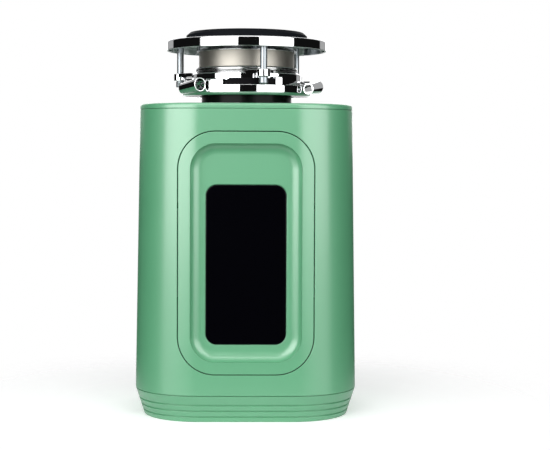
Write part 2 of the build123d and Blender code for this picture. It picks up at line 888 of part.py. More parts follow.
def impeller(side):
    """Impeller on the side of the turntable given as -1 or 1, its head pointing outwards."""
    with BuildPart() as hammer:
        with BuildSketch(Plane.XY.offset(z_impeller)):
            with Locations((side * pivot_r, 0)):
                Circle(impeller_hub_r)
            with Locations((side * (pivot_r + impeller_reach / 2), 0)):
                Rectangle(impeller_reach, impeller_width)
        extrude(amount=impeller_plate)
        with BuildSketch(Plane.XY.offset(z_impeller)):
            with Locations((side * (pivot_r + impeller_reach - impeller_toe / 2), 0)):
                RectangleRounded(impeller_toe, impeller_width, impeller_toe / 4)
        extrude(amount=impeller_height)
        chamfer(hammer.faces().sort_by(Axis.Z)[-1].edges(), length=impeller_toe / 8)
        with BuildSketch(Plane.XY.offset(z_impeller)):
            with Locations((side * pivot_r, 0)):
                Circle(rivet_r + pivot_clearance)
        extrude(amount=impeller_plate, mode=Mode.SUBTRACT)
    return hammer


impeller_1, impeller_2 = impeller(-1), impeller(1)

rivet_shank = table_thickness + impeller_plate + 2 * moving_gap

with BuildPart() as impeller_rivets:
    with Locations((pivot_r, 0, z_table), (-pivot_r, 0, z_table)):
        Cylinder(rivet_r, rivet_shank, align=(Align.CENTER, Align.CENTER, Align.MIN))
        Cylinder(rivet_head_r, rivet_head, align=(Align.CENTER, Align.CENTER, Align.MAX))
    with Locations((pivot_r, 0, z_table + rivet_shank), (-pivot_r, 0, z_table + rivet_shank)):
        Cylinder(rivet_head_r, rivet_head, align=(Align.CENTER, Align.CENTER, Align.MIN))
    chamfer(impeller_rivets.edges().group_by(Axis.Z)[-1], length=rivet_head / 2)

# Motor shaft with a hexagon socket at its lower end, reached through the base

z_shaft_top = z_table + table_thickness + table_hub_rise

with BuildPart() as motor_shaft:
    with Locations((0, 0, z_shaft_low)):
        Cylinder(shaft_end_r, z_shaft_top - z_shaft_low, align=(Align.CENTER, Align.CENTER, Align.MIN))
    with Locations((0, 0, z_shaft_step)):
        Cylinder(shaft_r, z_shaft_high - z_shaft_step, align=(Align.CENTER, Align.CENTER, Align.MIN))
    with BuildSketch(Plane.XY.offset(z_shaft_low)):
        RegularPolygon(hex_across / 2, 6, major_radius=False)
    extrude(amount=hex_depth, mode=Mode.SUBTRACT)

# Bearings, shaft seal and thrust washer

z_hub_top = z_chamber_floor + hub_wall
seal_height = 3.0

with BuildPart() as upper_bearing:
    add(tube(shaft_r + running_gap, bearing_r,
             chamber_inner_plate - skirt_drop, z_hub_top - 2 * seal_height))

with BuildPart() as shaft_seal:
    add(tube(shaft_r + running_gap, bearing_r, z_hub_top - 2 * seal_height, z_hub_top - seal_height))

with BuildPart() as lower_bearing:
    add(tube(shaft_end_r + running_gap, bearing_r, z_frame, lower_bearing_top))

with BuildPart() as thrust_washer:
    add(tube(shaft_end_r, bearing_r, lower_bearing_top + moving_gap, z_shaft_step))

# Rotor: iron core on the shaft, with cast end rings and fins

z_core_top = z_core + core_height

with BuildPart() as rotor_core:
    add(tube(shaft_r, rotor_r, z_core, z_core_top))

with BuildPart() as rotor_end_rings:
    for low in (z_core - end_ring_height, z_core_top):
        add(tube(end_ring_inner_r, rotor_r - end_ring_step, low, low + end_ring_height))
    with PolarLocations((end_ring_inner_r + rotor_r) / 2, end_fin_count):
        with Locations((0, 0, z_core_top + end_ring_height)):
            Box(end_fin_length, end_fin_width, end_fin_height,
                align=(Align.CENTER, Align.CENTER, Align.MIN))

# Stator: slotted core and the two rings of end turns

with BuildPart() as stator_core:
    with BuildSketch(Plane.XY.offset(z_core)):
        Circle(stator_r)
        Circle(rotor_r + air_gap, mode=Mode.SUBTRACT)
        with PolarLocations((winding_inner_r + slot_root_r) / 2, slot_count):
            SlotOverall(slot_root_r - winding_inner_r, slot_width, mode=Mode.SUBTRACT)
        with PolarLocations((rotor_r + winding_inner_r) / 2, slot_count):
            Rectangle(winding_inner_r - rotor_r + slot_mouth, slot_mouth, mode=Mode.SUBTRACT)
    extrude(amount=core_height)

with BuildPart() as stator_windings:
    for low in (z_core - winding_height - moving_gap, z_core_top + moving_gap):
        add(tube(winding_inner_r, winding_outer_r, low, low + winding_height))
    fillet(stator_windings.edges().filter_by(GeomType.CIRCLE), radius=winding_height / 3)

# Motor shell, lower end frame and the four bolts that hold them under the drain chamber

z_frame_top = z_frame + frame_thickness
bolt_head = 3.0
window_count = 6

with BuildPart() as motor_shell:
    add(tube(shell_r - shell_sheet, shell_r, z_frame_top, chamber_inner_plate))

with BuildPart() as lower_end_frame:
    add(tube(bearing_r, frame_hub_r, z_frame, lower_bearing_top))
    add(tube(bearing_r, frame_r, z_frame, z_frame_top))
    with BuildSketch(Plane.XY.offset(z_frame)):
        with PolarLocations((frame_hub_r + stator_r) / 2, window_count, start_angle=30):
            RectangleRounded(frame_window_length, frame_window_width, frame_window_corner)
        with PolarLocations(through_circle_r, 4):
            Circle(through_bolt_r + running_gap)
        with Locations(*[(sx * post_reach, sy * post_reach) for sx, sy in four_corners]):
            Circle(case_screw_r + running_gap)
    extrude(amount=frame_thickness, mode=Mode.SUBTRACT)

with BuildPart() as through_bolts:
    with PolarLocations(through_circle_r, 4):
        with Locations((0, 0, z_frame)):
            Cylinder(through_bolt_r, z_chamber_floor - through_roof - 2 * moving_gap - z_frame,
                     align=(Align.CENTER, Align.CENTER, Align.MIN))
            Cylinder(2 * through_bolt_r, bolt_head, align=(Align.CENTER, Align.CENTER, Align.MAX))

# Discharge: gasket, elbow that turns down behind the housing, flange plate and two bolts

z_tail = z_outlet - elbow_bend - elbow_tail
elbow_start = outlet_face + seal_thickness
elbow_axis = elbow_start + elbow_run + elbow_bend


def oval_ring(near, thickness, hole_r, hole_clearance):
    """Oval plate across the outlet with a round hole and two bolt holes."""
    with BuildPart() as plate:
        with BuildSketch(Plane.XZ.offset(-near)):
            with Locations((0, z_outlet)):
                RectangleRounded(oval_width, oval_height, oval_corner)
                Circle(hole_r, mode=Mode.SUBTRACT)
                with Locations((-bolt_span, 0), (bolt_span, 0)):
                    Circle(bolt_r + hole_clearance, mode=Mode.SUBTRACT)
        extrude(amount=-thickness)
    return plate


discharge_gasket = oval_ring(outlet_face, seal_thickness, outlet_bore_r, bolt_clearance)

with BuildPart() as discharge_tube:
    with BuildLine():
        FilletPolyline((0, elbow_start, z_outlet), (0, elbow_axis, z_outlet), (0, elbow_axis, z_tail),
                       radius=elbow_bend)
    with BuildSketch(Plane.XZ.offset(-elbow_start)):
        with Locations((0, z_outlet)):
            Circle(elbow_r)
            Circle(elbow_r - elbow_wall, mode=Mode.SUBTRACT)
    sweep()
    with BuildSketch(Plane.XZ.offset(-elbow_start)):
        with Locations((0, z_outlet)):
            Circle(elbow_collar_r)
            Circle(elbow_r - elbow_wall, mode=Mode.SUBTRACT)
    extrude(amount=-seal_thickness)

collar_seat = elbow_start + seal_thickness
discharge_flange = oval_ring(collar_seat, clamp_plate, elbow_r + bolt_clearance, bolt_clearance)

with BuildPart() as discharge_bolts:
    with BuildSketch(Plane.XZ.offset(-(collar_seat + clamp_plate))):
        with Locations((-bolt_span, z_outlet), (bolt_span, z_outlet)):
            Circle(bolt_r)
    extrude(amount=collar_seat + clamp_plate - outlet_face + 2 * oval_plate)
    with BuildSketch(Plane.XZ.offset(-(collar_seat + clamp_plate))):
        with Locations((-bolt_span, z_outlet), (bolt_span, z_outlet)):
            RegularPolygon(bolt_head_r, 6, major_radius=False)
    extrude(amount=-bolt_head_height)

# Outer housing: tapered shell with a pocket for the trim, screw bosses and openings at the back

corner_reach = sqrt(2) * (boss_reach - half_seam + corner_seam)
rib_length = corner_seam - wall / 2 - corner_reach
back_reach = half_seam + overshoot
outlet_margin = 5.0

with BuildPart() as trim_pocket:
    add(trim_prism(trim_gap + wall, -overshoot, trim_depth + wall))
    add(body_block(z_seam, z_shoulder), mode=Mode.INTERSECT)

with BuildPart() as outer_housing:
    add(body_block(z_seam, z_shoulder))
    add(body_block(z_seam - 1, z_shoulder + 1, wall), mode=Mode.SUBTRACT)
    add(trim_pocket.part)
    add(trim_prism(trim_gap, -overshoot, trim_depth + trim_gap), mode=Mode.SUBTRACT)
    add(trim_prism(-trim_ledge, 0, trim_depth + 2 * wall), mode=Mode.SUBTRACT)
    with Locations(*[(sx * boss_reach, sy * boss_reach, z_seam) for sx, sy in four_corners]):
        Cylinder(post_r, boss_height, align=(Align.CENTER, Align.CENTER, Align.MIN))
    with Locations(*[Location((sx * boss_reach, sy * boss_reach, z_seam), (0, 0, degrees(atan2(sy, sx))))
                     for sx, sy in four_corners]):
        Box(rib_length, rib_width, boss_height, align=(Align.MIN, Align.CENTER, Align.MIN))
    with Locations(*[(sx * boss_reach, sy * boss_reach, z_seam) for sx, sy in four_corners]):
        Cylinder(case_screw_r, boss_height / 2, align=(Align.CENTER, Align.CENTER, Align.MIN),
                 mode=Mode.SUBTRACT)
    with BuildSketch(Plane.XZ.offset(-back_reach)):
        with Locations((0, z_outlet)):
            RectangleRounded(oval_width + 2 * outlet_margin, oval_height + 2 * outlet_margin,
                             oval_corner + outlet_margin)
        with Locations((0, inlet_rise)):
            Circle(inlet_r + inlet_stop_height + pipe_gap)
        with Locations((gland_x, z_foot + gland_rise)):
            RectangleRounded(gland_neck + 2 * running_gap, gland_neck + 2 * running_gap,
                             gland_neck_corner + running_gap)
    extrude(amount=back_reach - flange_r, mode=Mode.SUBTRACT)

# Front trim: follows the housing's curve, with a coved basin, a window pocket and a hollow back

with BuildPart() as trim_hollow:
    add(trim_prism(-wall, trim_skin, trim_depth))
    add(front_prism(basin_width + 2 * wall, basin_height + 2 * wall, basin_corner + wall, 0, trim_depth),
        mode=Mode.SUBTRACT)

with BuildPart() as front_trim:
    add(trim_prism(0, -overshoot, trim_depth))
    add(body_block(z_seam, z_shoulder), mode=Mode.INTERSECT)
    add(front_prism(basin_width, basin_height, basin_corner, -overshoot, basin_depth), mode=Mode.SUBTRACT)
    basin_floor = front_trim.faces().filter_by(GeomType.PLANE).sort_by_distance(
        front_face.from_local_coords(Vector(0, 0, -basin_depth)))[0]
    fillet(basin_floor.edges(), radius=basin_cove)
    add(front_prism(window_width, window_height, window_corner, basin_depth - overshoot,
                    basin_depth + window_thickness - window_proud, -window_drop), mode=Mode.SUBTRACT)
    add(trim_hollow.part, mode=Mode.SUBTRACT)

with BuildPart() as front_window:
    add(front_prism(window_width - 2 * window_gap, window_height - 2 * window_gap,
                    window_corner - window_gap, basin_depth - window_proud,
                    basin_depth + window_thickness - window_proud, -window_drop))
    glass = front_window.faces().sort_by_distance(
        front_face.from_local_coords(Vector(0, -window_drop, overshoot)))[0]
    chamfer(glass.edges(), length=window_proud)

# Top cover: thin lid with a rounded edge, a skirt inside the body and a hole for the neck

skirt_height = 5.0

with BuildPart() as top_cover:
    with BuildSketch(Plane.XY.offset(z_shoulder)):
        RectangleRounded(2 * half_top, 2 * half_top, corner_top)
    extrude(amount=lid_height)
    fillet(top_cover.faces().sort_by(Axis.Z)[-1].edges(), radius=wall)
    add(body_block(z_shoulder - skirt_height, z_shoulder, wall + moving_gap))
    add(body_block(z_shoulder - 2 * skirt_height, z_shoulder + wall, 2 * wall + moving_gap),
        mode=Mode.SUBTRACT)
    with Locations((0, 0, z_lid)):
        Cylinder(neck_r + cover_gap, 2 * lid_height, mode=Mode.SUBTRACT)

# Base cover: grooved slope, foot ring, raised panel with vents, holes and posts under the motor

with BuildPart() as base_cover:
    add(foot_block(z_foot, z_seam))
    add(foot_block(z_foot + panel_rise + panel_thickness, z_seam + 1, wall), mode=Mode.SUBTRACT)
    add(foot_block(z_foot - 1, z_foot + panel_rise, foot_wall), mode=Mode.SUBTRACT)
    with Locations(*[(sx * post_reach, sy * post_reach, z_foot + panel_rise) for sx, sy in four_corners]):
        Cylinder(post_r, z_frame - z_foot - panel_rise, align=(Align.CENTER, Align.CENTER, Align.MIN))
    with Locations(*[(sx * boss_reach, sy * boss_reach, z_foot + panel_rise) for sx, sy in four_corners]):
        Cylinder(boss_foot_r, base_height - panel_rise, align=(Align.CENTER, Align.CENTER, Align.MIN))
    with BuildSketch(Plane.XY.offset(z_foot + panel_rise)):
        Circle(wrench_hole_r)
        with Locations(button_place):
            Circle(button_r + button_gap)
        with Locations((0, (wrench_hole_r + half_foot) / 2)):
            with GridLocations(0, vent_pitch, 1, vent_count):
                SlotOverall(vent_length, vent_width)
    extrude(amount=panel_thickness, mode=Mode.SUBTRACT)
    with BuildSketch(Plane.XY.offset(z_foot + panel_rise)):
        with Locations(*[(sx * boss_reach, sy * boss_reach) for sx, sy in four_corners]):
            Circle(case_screw_r + screw_clearance)
        with Locations(*[(sx * post_reach, sy * post_reach) for sx, sy in four_corners]):
            Circle(case_screw_r + screw_clearance)
    extrude(amount=base_height, mode=Mode.SUBTRACT)
    for rise in groove_heights:
        half, corner = foot_at(z_foot + rise)
        with BuildSketch(Plane.XY.offset(z_foot + rise - groove_width / 2)):
            RectangleRounded(2 * half + overshoot, 2 * half + overshoot, corner)
            RectangleRounded(2 * (half - groove_depth), 2 * (half - groove_depth), corner - groove_depth,
                             mode=Mode.SUBTRACT)
        extrude(amount=groove_width, mode=Mode.SUBTRACT)

with BuildPart() as base_screws:
    with Locations(*[(sx * reach, sy * reach, z_foot + panel_rise)
                     for reach in (boss_reach, post_reach) for sx, sy in four_corners]):
        Cylinder(case_screw_head_r, case_screw_head, align=(Align.CENTER, Align.CENTER, Align.MAX))
        Cylinder(case_screw_r, base_height, align=(Align.CENTER, Align.CENTER, Align.MIN))

# Insulation: two half shells round the bowl of the hopper

wool_inner_r = bowl_r + wool_gap
z_wool = z_joint + wool_rise

wool = tube(wool_inner_r, wool_inner_r + wool_thickness, z_wool, z_wool + wool_height)

with BuildPart() as insulation_front:
    add(wool)
    split(bisect_by=Plane.XZ.offset(wool_gap / 2), keep=Keep.TOP)

with BuildPart() as insulation_back:
    add(wool)
    split(bisect_by=Plane.XZ.offset(-wool_gap / 2), keep=Keep.BOTTOM)
    with BuildSketch(Plane.XZ.offset(-inlet_reach)):
        with Locations((0, inlet_rise)):
            Circle(inlet_r + inlet_stop_height + wool_gap)
    extrude(amount=inlet_reach - bowl_inner_r, mode=Mode.SUBTRACT)

# Overload protector and the reset button that is pushed up into it

z_panel_top = z_foot + panel_rise + panel_thickness
button_flange = 1.2
z_stem = z_panel_top + moving_gap + button_flange
stem_length = protector_rise - (z_stem - z_foot) + button_travel

with BuildPart() as overload_protector:
    with Locations((button_place[0], button_place[1], z_frame)):
        Box(protector_width, protector_depth, z_frame - z_foot - protector_rise,
            align=(Align.CENTER, Align.CENTER, Align.MAX))
    fillet(overload_protector.edges().filter_by(Axis.Z), radius=wall)
    with Locations((button_place[0], button_place[1], z_foot + protector_rise)):
        Cylinder(button_stem_r + moving_gap, 2 * button_travel + wall,
                 align=(Align.CENTER, Align.CENTER, Align.MIN), mode=Mode.SUBTRACT)

with BuildPart() as reset_button:
    with Locations((button_place[0], button_place[1], z_foot + panel_rise - button_show)):
        Cylinder(button_r, z_stem - button_flange - z_foot - panel_rise + button_show,
                 align=(Align.CENTER, Align.CENTER, Align.MIN))
    fillet(reset_button.edges().sort_by(Axis.Z)[0], radius=button_edge)
    with Locations((button_place[0], button_place[1], z_stem)):
        Cylinder(button_r + 2 * button_gap, button_flange, align=(Align.CENTER, Align.CENTER, Align.MAX))
        Cylinder(button_stem_r, stem_length, align=(Align.CENTER, Align.CENTER, Align.MIN))

# Start capacitor, strapped to the motor shell in a corner of the housing

strap_turn = radians(capacitor_azimuth)
strap_reach = shell_r + wall + capacitor_r
capacitor_x = strap_reach * sin(strap_turn)
capacitor_y = -strap_reach * cos(strap_turn)

with BuildPart() as start_capacitor:
    with Locations((capacitor_x, capacitor_y, z_capacitor)):
        Cylinder(capacitor_r - strap_sheet, capacitor_length, align=(Align.CENTER, Align.CENTER, Align.MIN))
    fillet(start_capacitor.edges(), radius=capacitor_edge)
    with Locations((capacitor_x - tab_offset, capacitor_y, z_capacitor + capacitor_length),
                   (capacitor_x + tab_offset, capacitor_y, z_capacitor + capacitor_length)):
        Box(tab_sheet, tab_width, tab_rise, align=(Align.CENTER, Align.CENTER, Align.MIN))

with BuildPart() as capacitor_strap:
    with BuildSketch(Plane.XY.offset(z_capacitor + capacitor_length / 3)):
        with Locations((capacitor_x, capacitor_y)):
            Circle(capacitor_r)
        with Locations(Location(((shell_r + wall) * sin(strap_turn), -(shell_r + wall) * cos(strap_turn)),
                                capacitor_azimuth)):
            Rectangle(capacitor_r, 4 * wall)
        Circle(shell_r + running_gap, mode=Mode.SUBTRACT)
        with Locations((capacitor_x, capacitor_y)):
            Circle(capacitor_r - strap_sheet, mode=Mode.SUBTRACT)
    extrude(amount=strap_width)

# Cord gland in the back wall, terminal block behind it and the leads to the motor

z_gland = z_foot + gland_rise
back_wall = half_at(z_gland)

with BuildPart() as cord_gland:
    with BuildSketch(Plane.XZ.offset(-(back_wall + gland_head))):
        with Locations((gland_x, z_gland)):
            Circle(gland_r)
    extrude(amount=gland_head - moving_gap)
    chamfer(cord_gland.edges().sort_by(Axis.Y)[-1], length=gland_head / 4)
    with BuildSketch(Plane.XZ.offset(-(back_wall + gland_head / 2))):
        with Locations((gland_x, z_gland)):
            RectangleRounded(gland_neck, gland_neck, gland_neck_corner)
    extrude(amount=2.5 * gland_head)
    with BuildSketch(Plane.XZ.offset(-(back_wall + 2 * gland_head))):
        with Locations((gland_x, z_gland)):
            Circle(gland_bore_r)
    extrude(amount=4 * gland_head, mode=Mode.SUBTRACT)

block_face = back_wall - 3 * gland_head

with BuildPart() as terminal_block:
    with Locations((gland_x, block_face, z_gland)):
        Box(block_width, block_depth, block_height, align=(Align.CENTER, Align.MAX, Align.CENTER))
    with BuildSketch(Plane.XY.offset(z_gland + block_height / 2)):
        with Locations((gland_x, block_face - block_depth / 2)):
            with GridLocations(block_width / 3, 0, 3, 1):
                Circle(2.5 * lead_r)
    extrude(amount=-block_height / 3, mode=Mode.SUBTRACT)

lead_low = z_gland + block_height / 6
lead_y = block_face - block_depth / 2
z_tab = z_capacitor + capacitor_length + tab_rise
shell_lead_x = gland_x + block_width / 3
shell_lead_y = sqrt((shell_r + lead_r) ** 2 - shell_lead_x ** 2)

lead_routes = [
    [(gland_x + step * block_width / 3, lead_y, lead_low),
     (gland_x + step * block_width / 3, lead_y, z_tab + lead_arch),
     (capacitor_x + tab_offset * (2 * step + 1), capacitor_y, z_tab + lead_arch),
     (capacitor_x + tab_offset * (2 * step + 1), capacitor_y, z_tab)]
    for step in (-1, 0)
] + [
    [(shell_lead_x, lead_y, lead_low),
     (shell_lead_x, lead_y, lead_low + lead_arch),
     (shell_lead_x, shell_lead_y, lead_low + lead_arch)]
]


def lead(route):
    """One lead: a round wire along a route of straight runs and arcs."""
    with BuildPart() as wire:
        with BuildLine():
            FilletPolyline(*route, radius=3 * lead_r)
        with BuildSketch(Plane(route[0])):
            Circle(lead_r)
        sweep()
    return wire.part


with BuildPart() as motor_leads:
    for route in lead_routes:
        add(lead(route))

# Write every piece under its own name

pieces = {
    "sink_flange": sink_flange,
    "flange_gasket": flange_gasket,
    "support_flange": support_flange,
    "snap_ring": snap_ring,
    "mounting_ring": mounting_ring,
    "mounting_screw_1": mounting_screw_1,
    "mounting_screw_2": mounting_screw_2,
    "mounting_screw_3": mounting_screw_3,
    "cushion_gasket": cushion_gasket,
    "locking_ring": locking_ring,
    "splash_guard": splash_guard,
    "hopper": hopper,
    "top_cover": top_cover,
    "outer_housing": outer_housing,
    "front_trim": front_trim,
    "front_window": front_window,
    "base_cover": base_cover,
    "base_screws": base_screws,
    "shredder_ring": shredder_ring,
    "turntable": turntable,
    "impeller_1": impeller_1,
    "impeller_2": impeller_2,
    "impeller_rivets": impeller_rivets,
    "drain_chamber": drain_chamber,
    "chamber_seal": chamber_seal,
    "chamber_screws": chamber_screws,
    "discharge_gasket": discharge_gasket,
    "discharge_tube": discharge_tube,
    "discharge_flange": discharge_flange,
    "discharge_bolts": discharge_bolts,
    "motor_shaft": motor_shaft,
    "upper_bearing": upper_bearing,
    "shaft_seal": shaft_seal,
    "lower_bearing": lower_bearing,
    "thrust_washer": thrust_washer,
    "rotor_core": rotor_core,
    "rotor_end_rings": rotor_end_rings,
    "stator_core": stator_core,
    "stator_windings": stator_windings,
    "motor_shell": motor_shell,
    "lower_end_frame": lower_end_frame,
    "through_bolts": through_bolts,
    "insulation_front": insulation_front,
    "insulation_back": insulation_back,
    "overload_protector": overload_protector,
    "reset_button": reset_button,
    "start_capacitor": start_capacitor,
    "capacitor_strap": capacitor_strap,
    "cord_gland": cord_gland,
    "terminal_block": terminal_block,
    "motor_leads": motor_leads,
}

for name, piece in pieces.items():
    piece.part.label = name
    export_step(piece.part, f"parts/{name}.step")
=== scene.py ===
# %% [markdown]
# # A food waste disposer, dressed in Blender
# The part was drawn in CAD first, so its sizes and joints are already right.
# Here every surface that shows gets a finer mesh and a real finish: glossy green
# mouldings, chrome rings, a brushed steel sleeve and soft black rubber.
# The scene is in metres, while the sizes of the pieces are written in
# millimetres and scaled once, where a mesh is made. Z points up and the front
# looks along -Y.

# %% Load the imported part
import json
from math import asin, cos, pi, radians, sin, sqrt, tan

import bmesh
import bpy
from mathutils import Matrix, Vector


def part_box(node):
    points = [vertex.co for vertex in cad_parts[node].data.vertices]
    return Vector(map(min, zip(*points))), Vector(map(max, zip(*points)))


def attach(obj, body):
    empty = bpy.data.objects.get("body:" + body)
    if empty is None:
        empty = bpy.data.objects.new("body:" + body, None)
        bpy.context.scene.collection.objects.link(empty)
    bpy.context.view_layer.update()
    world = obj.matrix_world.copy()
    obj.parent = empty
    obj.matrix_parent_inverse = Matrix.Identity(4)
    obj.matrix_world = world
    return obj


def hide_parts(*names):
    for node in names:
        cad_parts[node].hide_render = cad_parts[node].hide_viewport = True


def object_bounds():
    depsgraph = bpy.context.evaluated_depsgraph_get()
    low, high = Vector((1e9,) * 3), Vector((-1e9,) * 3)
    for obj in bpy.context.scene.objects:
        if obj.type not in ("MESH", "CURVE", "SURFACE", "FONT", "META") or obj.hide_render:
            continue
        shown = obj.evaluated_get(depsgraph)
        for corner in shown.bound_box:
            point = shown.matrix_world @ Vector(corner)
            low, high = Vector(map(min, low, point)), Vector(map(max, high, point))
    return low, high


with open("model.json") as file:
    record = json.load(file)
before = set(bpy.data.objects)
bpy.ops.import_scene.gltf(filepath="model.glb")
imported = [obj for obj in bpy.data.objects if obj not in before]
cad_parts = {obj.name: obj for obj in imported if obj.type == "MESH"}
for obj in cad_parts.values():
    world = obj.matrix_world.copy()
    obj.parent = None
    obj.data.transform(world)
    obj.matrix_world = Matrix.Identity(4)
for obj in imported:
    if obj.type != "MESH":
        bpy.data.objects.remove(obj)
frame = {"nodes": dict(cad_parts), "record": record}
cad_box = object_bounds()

mm = 0.001
nodes = frame["nodes"]
record = frame["record"]

# %% [markdown]
# ## Helpers for objects and nodes
# A node tree could be joined by hand, link by link. A script reads better when
# one call makes a node with all that goes into it, so that an input takes
# either a plain value or the socket of an earlier node.

# %% Objects, and points round the axis
def add_object(name, data):
    """An object in the scene for a mesh, a lamp or a camera."""
    thing = bpy.data.objects.new(name, data)
    bpy.context.scene.collection.objects.link(thing)
    return thing


def add_mesh(name, points, edges=(), faces=()):
    """An object whose mesh has these points, in metres, with edges or faces."""
    mesh = bpy.data.meshes.new(name)
    mesh.from_pydata(points, edges, faces)
    return add_object(name, mesh)


def around(radius, azimuth, height):
    """A point round the axis, its azimuth counted from the front towards +X."""
    angle = radians(azimuth)
    return Vector((radius * sin(angle), -radius * cos(angle), height))


# %% Nodes
def feed(tree, node, inputs):
    """Gives each input of a node its value, or joins it to a socket."""
    for name, value in inputs.items():
        if isinstance(value, bpy.types.NodeSocket):
            tree.links.new(value, node.inputs[name])
        else:
            node.inputs[name].default_value = value
    return node


def add_node(tree, kind, inputs=None, **settings):
    """A node with its settings and its inputs."""
    node = tree.nodes.new(kind)
    for setting, value in settings.items():
        setattr(node, setting, value)
    return feed(tree, node, inputs or {})


def calculate(tree, operation, *values, **settings):
    """The result of a Math node that works on values or sockets."""
    inputs = dict(enumerate(values))
    return add_node(tree, "ShaderNodeMath", inputs, operation=operation, **settings).outputs[0]


def new_paint(name, inputs):
    """A material with values for its main shader."""
    paint = bpy.data.materials.new(name)
    paint.use_nodes = True
    feed(paint.node_tree, paint.node_tree.nodes["Principled BSDF"], inputs)
    return paint


# %% [markdown]
# ## The camera
# The photograph was taken from a little over a metre, slightly above the middle
# of the object, with a long lens. The object stands left of the middle, so the
# camera is turned a little to the right of it, and it leans down a few degrees.

# %% Camera
picture_width, sensor_width = 550, 36
focal_pixels = 1342
camera_place = Vector((0, -1233 * mm, -104.7 * mm))
camera_down, camera_right, camera_roll = radians(3.09), radians(1.235), radians(0.26)

camera = add_object("camera", bpy.data.cameras.new("camera"))
camera.data.sensor_width = sensor_width
camera.data.lens = sensor_width * focal_pixels / picture_width
camera.location = camera_place
turn = Matrix.Rotation(-camera_right, 3, "Z") @ Matrix.Rotation(pi / 2 - camera_down, 3, "X")
camera.rotation_euler = (turn @ Matrix.Rotation(camera_roll, 3, "Z")).to_euler()
bpy.context.scene.camera = camera
bpy.context.scene.view_settings.view_transform = "Standard"
print("lens", round(camera.data.lens, 1), "mm")

# %% [markdown]
# ## The studio
# A product like this is lit by two large soft boxes, one on each side of the
# camera. Chrome shows them as two white fields with a dark gap between, where
# the camera stands, and the glossy corners show them as two upright bands. A
# third box above the camera lights the front evenly, and a weak one behind the
# object lights its back.

# %% World: a white background, and a little light from all round
background_white, fill_light = 1.0, 0.13
white = (1, 1, 1, 1)

world = bpy.data.worlds.new("studio")
bpy.context.scene.world = world
world.use_nodes = True
tree = world.node_tree
tree.nodes.clear()
ray = add_node(tree, "ShaderNodeLightPath").outputs
seen = calculate(tree, "MAXIMUM", ray["Is Camera Ray"], ray["Is Glossy Ray"])
seen = calculate(tree, "MAXIMUM", seen, ray["Is Transmission Ray"])
lit, shown = [add_node(tree, "ShaderNodeBackground", {"Color": white, "Strength": strength}).outputs[0]
              for strength in (fill_light, background_white)]
either = add_node(tree, "ShaderNodeMixShader", {"Fac": seen, 1: lit, 2: shown})
add_node(tree, "ShaderNodeOutputWorld", {"Surface": either.outputs[0]})
print("background", background_white, "fill light", fill_light)

# %% Soft boxes, placed by the azimuth that the reflections give
studio_middle = Vector((0, 0, -150 * mm))
box_distance = 1.25


def look_at(holder, place):
    """Turns a lamp towards a place."""
    holder.rotation_euler = (place - holder.location).to_track_quat("-Z", "Y").to_euler()


def soft_box(name, azimuth, width, low, high, watts):
    """A large upright lamp that looks at the axis of the object."""
    lamp = bpy.data.lights.new(name, "AREA")
    lamp.shape = "RECTANGLE"
    lamp.size, lamp.size_y = width, high - low
    lamp.energy = watts
    holder = add_object(name, lamp)
    holder.location = around(box_distance, azimuth, (low + high) / 2)
    look_at(holder, Vector((studio_middle.x, studio_middle.y, holder.location.z)))
    print(name, watts, "W")
    return holder


soft_box("left_box", -39, 1.27, -0.22, 0.78, 14.5)
soft_box("right_box", 43, 1.17, -0.22, 0.78, 9)
soft_box("back_box", 180, 1.0, -0.1, 0.9, 6)
look_at(soft_box("top_box", 2, 1.3, 0.65, 1.35, 8), studio_middle)

# %% [markdown]
# In a white room every edge would reflect white and fade into the background.
# So black cards stand beyond the boxes and fill the gap between them, where the
# camera is, and a grey one behind keeps the chrome dark at its back. Real cards
# would throw shadows. These only show in reflections, so they take no light and
# hide nothing from another view.

# %% Cards that only reflections show
card_low, card_high, low_card_high = -1.2, 1.8, -0.07
card_black, card_grey = [
    new_paint(name, {"Base Color": (0, 0, 0, 1), "Specular IOR Level": 0, "Emission Color": white,
                     "Emission Strength": glow})
    for name, glow in (("card_black", 0.006), ("card_grey", 0.42))]


def hang_card(name, places, faces, paint):
    """A card that only reflections show."""
    card = add_mesh(name, places, faces=faces)
    card.data.materials.append(paint)
    for kind in ("camera", "diffuse", "shadow", "transmission", "volume_scatter"):
        setattr(card, "visible_" + kind, False)


def side_card(name, first, last, distance, low, high, paint=card_black):
    """An upright curved card between two azimuths."""
    steps = 12
    places = [around(distance, first + (last - first) * step / steps, height)
              for step in range(steps + 1) for height in (low, high)]
    hang_card(name, places, [(2 * i, 2 * i + 2, 2 * i + 3, 2 * i + 1) for i in range(steps)], paint)


def level_square(half_width, near, far, height):
    """The corners of a level rectangle between two distances in front of the axis."""
    return [(-half_width, -near, height), (half_width, -near, height),
            (half_width, -far, height), (-half_width, -far, height)]


side_card("camera_gap", -12, 17, 1.1, -0.33, 0.9)
floor_gap = level_square(0.28, 0.25, 1.6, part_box("base_cover")[0].z + 1 * mm)
hang_card("floor_gap", floor_gap, [(0, 1, 2, 3)], card_black)
side_card("left_card", -128, -68, 1.5, card_low, card_high)
side_card("right_card", 69, 128, 1.5, card_low, card_high)
side_card("left_low_card", -158, -128, 1.5, card_low, low_card_high)
side_card("right_low_card", 128, 158, 1.5, card_low, low_card_high)
side_card("back_card", 128, 232, 1.6, card_low, card_high, card_grey)

# %% [markdown]
# The floor is a large pale square. Near the object it shows the soft grey
# shadow, and further out it fades into the white of the background, as a studio
# sweep does. From below it is clear, so that it doesn't hide the base's
# underside, and it has a hole under the base, so that a little light comes up
# there.

# %% Floor
floor_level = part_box("base_cover")[0].z
floor_half, floor_lift = 1.6, 0.33
shadow_near, shadow_reach, under_base = 0.1, 0.36, 0.085
floor = add_mesh("floor", level_square(floor_half, floor_half, -floor_half, floor_level),
                 faces=[(0, 1, 2, 3)])

